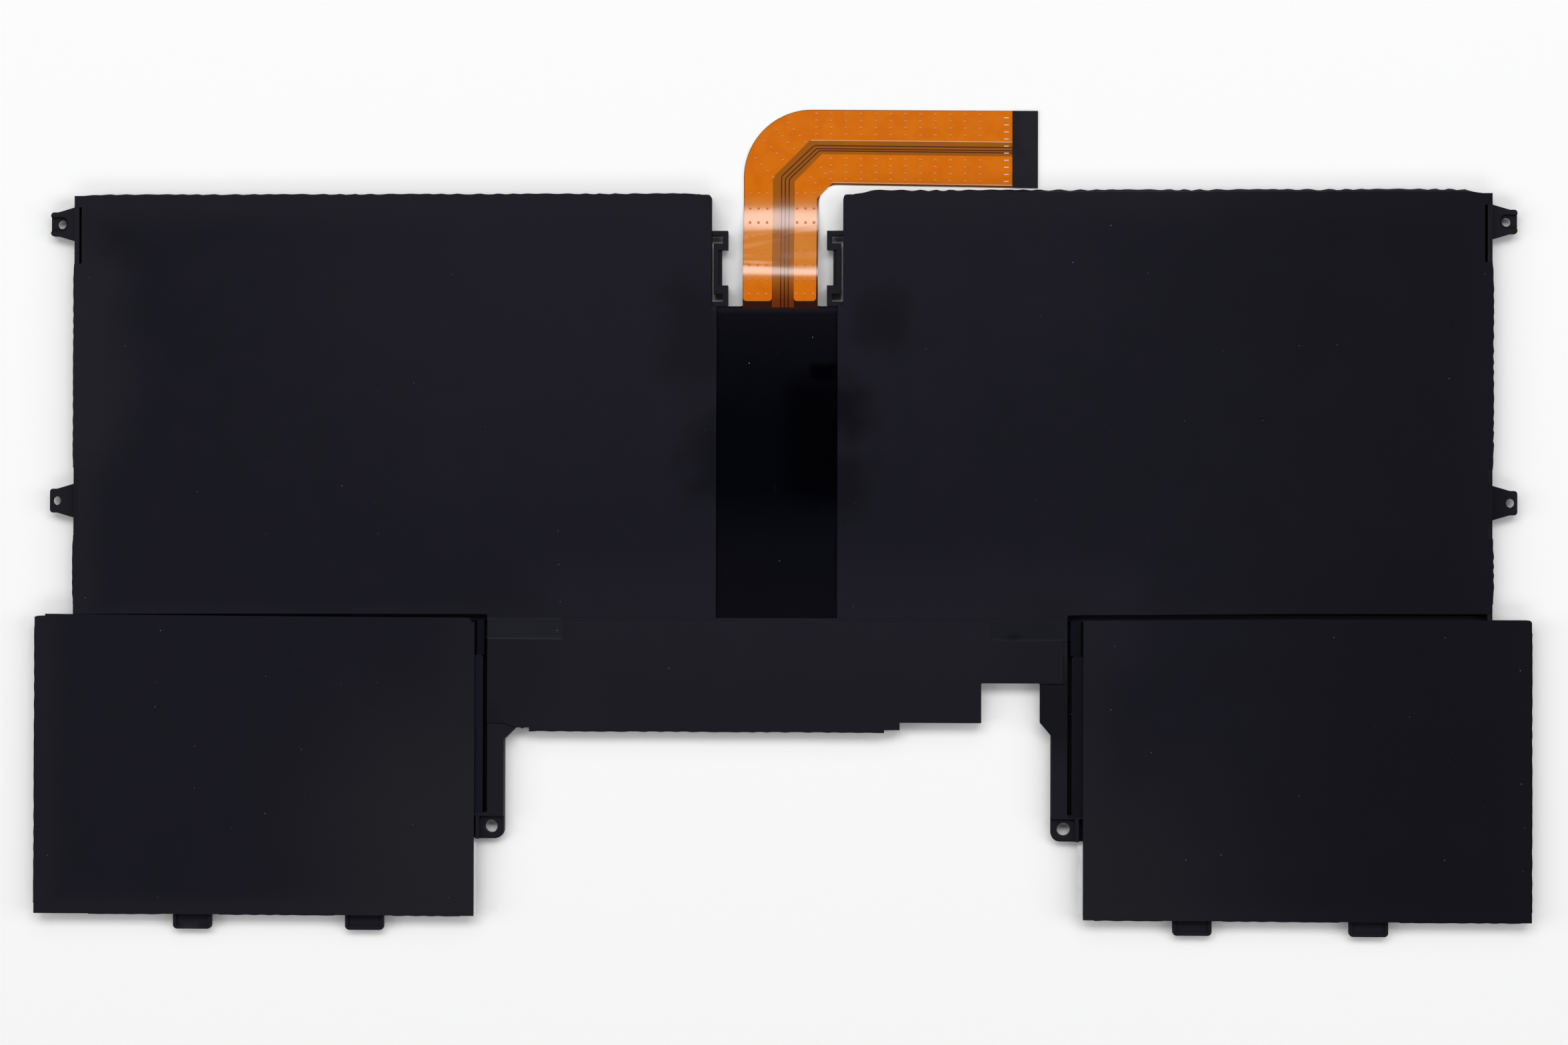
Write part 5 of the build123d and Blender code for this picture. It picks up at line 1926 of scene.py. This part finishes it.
    def ticks(self) -> bpy.types.Object:
        """Plain white tick marks, one for each contact, beside the stiffener."""
        low, high = node_box("flex_contacts")
        layer = Sheet("flex_contact_ticks")
        start = self.flex_end - self.tick_gap
        for i in range(self.tick_count):
            share = i / (self.tick_count - 1)
            y = low.y + self.contact_width / 2 + (high.y - low.y - self.contact_width) * share
            self.ribbon(layer, [(start - self.tick_length, y), (start, y)], self.tick_width,
                        self.copper + self.tick_lift)
        return place(layer.make(self.tick_lift), TICK_PAINT, "flex_film")

    def build(self) -> list[bpy.types.Object]:
        """Build and dress every layer.

        Returns:
            The layers.
        """
        return [self.film(), self.strip(), *self.pours(), self.gaps(), self.edge_highlights(), self.vias(),
                self.ticks()]


@dataclass(frozen=True)
class Softbox:
    """Rectangular soft light that points at the battery.

    Attributes:
        name: name of the lamp.
        place: where it stands, in metres.
        size: width and height, in metres.
        radiance: brightness of its face, where 1 is white.
    """

    name: str
    place: Point
    size: tuple[float, float]
    radiance: float

    def build(self) -> None:
        """Stand the lamp in the studio."""
        lamp = bpy.data.lights.new(self.name, "AREA")
        lamp.shape = "RECTANGLE"
        lamp.size, lamp.size_y = self.size
        lamp.energy = self.radiance * math.pi * self.size[0] * self.size[1]
        obj = bpy.data.objects.new(self.name, lamp)
        obj.location = self.place
        obj.rotation_euler = (-Vector(self.place)).to_track_quat("-Z", "Y").to_euler()
        bpy.context.scene.collection.objects.link(obj)


@dataclass
class Studio:
    """Pale table, soft lights and the camera that looks straight down on the battery."""

    lens: float = 85.0
    sensor: float = 36.0
    nearest: float = 0.01
    camera_place: Point = (34.13, -7.48, 706.16)
    yaw: float = math.radians(2.665)
    pitch: float = math.radians(0.580)
    roll: float = math.radians(0.117)
    floor_size: float = 6.0
    floor_drop: float = 0.02
    floor_colour: Colour = (252, 252, 252)
    floor_roughness: float = 0.9
    sky: float = 0.03
    lights: tuple[Softbox, ...] = (
        Softbox("key_softbox", (0.0, 0.57, 1.14), (1.4, 0.44), 4.9),
        Softbox("back_panel", (0.0, 1.15, 0.96), (1.6, 0.5), 0.9),
        Softbox("left_softbox", (-1.2, 0.0, 0.9), (0.8, 1.0), 2.7),
        Softbox("right_softbox", (1.2, 0.0, 0.9), (0.8, 1.0), 2.7),
        Softbox("front_softbox", (0.0, -0.9, 0.95), (1.4, 0.5), 1.6),
    )

    def floor(self) -> None:
        """Lay the table under the battery."""
        bpy.ops.mesh.primitive_plane_add(size=self.floor_size, location=(0, 0, -self.floor_drop * MM))
        table = bpy.context.active_object
        table.name = "table"
        material = bpy.data.materials.new("table_white")
        material.use_nodes = True
        shader = material.node_tree.nodes["Principled BSDF"]
        shader.inputs["Base Color"].default_value = linear(self.floor_colour)
        shader.inputs["Roughness"].default_value = self.floor_roughness
        shader.inputs["Specular IOR Level"].default_value = 0.0
        table.data.materials.append(material)

    def world(self) -> None:
        """Set the even light of the room."""
        world = bpy.data.worlds.new("room")
        world.use_nodes = True
        background = world.node_tree.nodes["Background"]
        background.inputs["Color"].default_value = (1.0, 1.0, 1.0, 1.0)
        background.inputs["Strength"].default_value = self.sky
        bpy.context.scene.world = world

    def camera(self) -> None:
        """Stand the camera where the picture was taken from."""
        data = bpy.data.cameras.new("camera")
        data.lens, data.sensor_width = self.lens, self.sensor
        data.clip_start = self.nearest
        camera = bpy.data.objects.new("camera", data)
        turn = Matrix.Rotation(self.roll, 4, "Z") @ Matrix.Rotation(self.pitch, 4, "X")
        turn = turn @ Matrix.Rotation(self.yaw, 4, "Y")
        camera.matrix_world = Matrix.Translation(Vector(self.camera_place) * MM) @ turn
        bpy.context.scene.collection.objects.link(camera)
        bpy.context.scene.camera = camera

    def build(self) -> None:
        """Set up the table, the lights, the camera and the plain view of colours."""
        self.floor()
        self.world()
        for light in self.lights:
            light.build()
        self.camera()
        bpy.context.scene.view_settings.view_transform = "Standard"


def main() -> None:
    """Build the looks of the battery piece by piece."""
    logging.basicConfig(level=logging.INFO, format="%(message)s")
    dress_solids()
    UpperCover(Side.LEFT, seam_edge=UPPER_LEFT_SEAM, top_stand_off=0.30).build()
    UpperCover(Side.RIGHT, seam_edge=UPPER_RIGHT_SEAM, top_stand_off=0.85).build()
    LowerCover(Side.LEFT, seam_edge=LOWER_LEFT_SEAM, overhang=0.55, bare_corner=10.6).build()
    LowerCover(Side.RIGHT, seam_edge=LOWER_RIGHT_SEAM).build()
    BoardFilm().build()
    ChannelTape().build()
    TapePatch("left_tab_patch", phase=-1.0, light=0.16, edge_light=0.75).build()
    TapePatch("right_tab_patch", phase=1.0, edge_light=0.3, smudge=(45.0, -3.4)).build()
    LeadTape(Side.LEFT, dark_from=57.02).build()
    LeadTape(Side.RIGHT, dark_from=57.62).build()
    FlexCircuit().build()
    Studio().build()


if __name__ == "__main__":
    main()
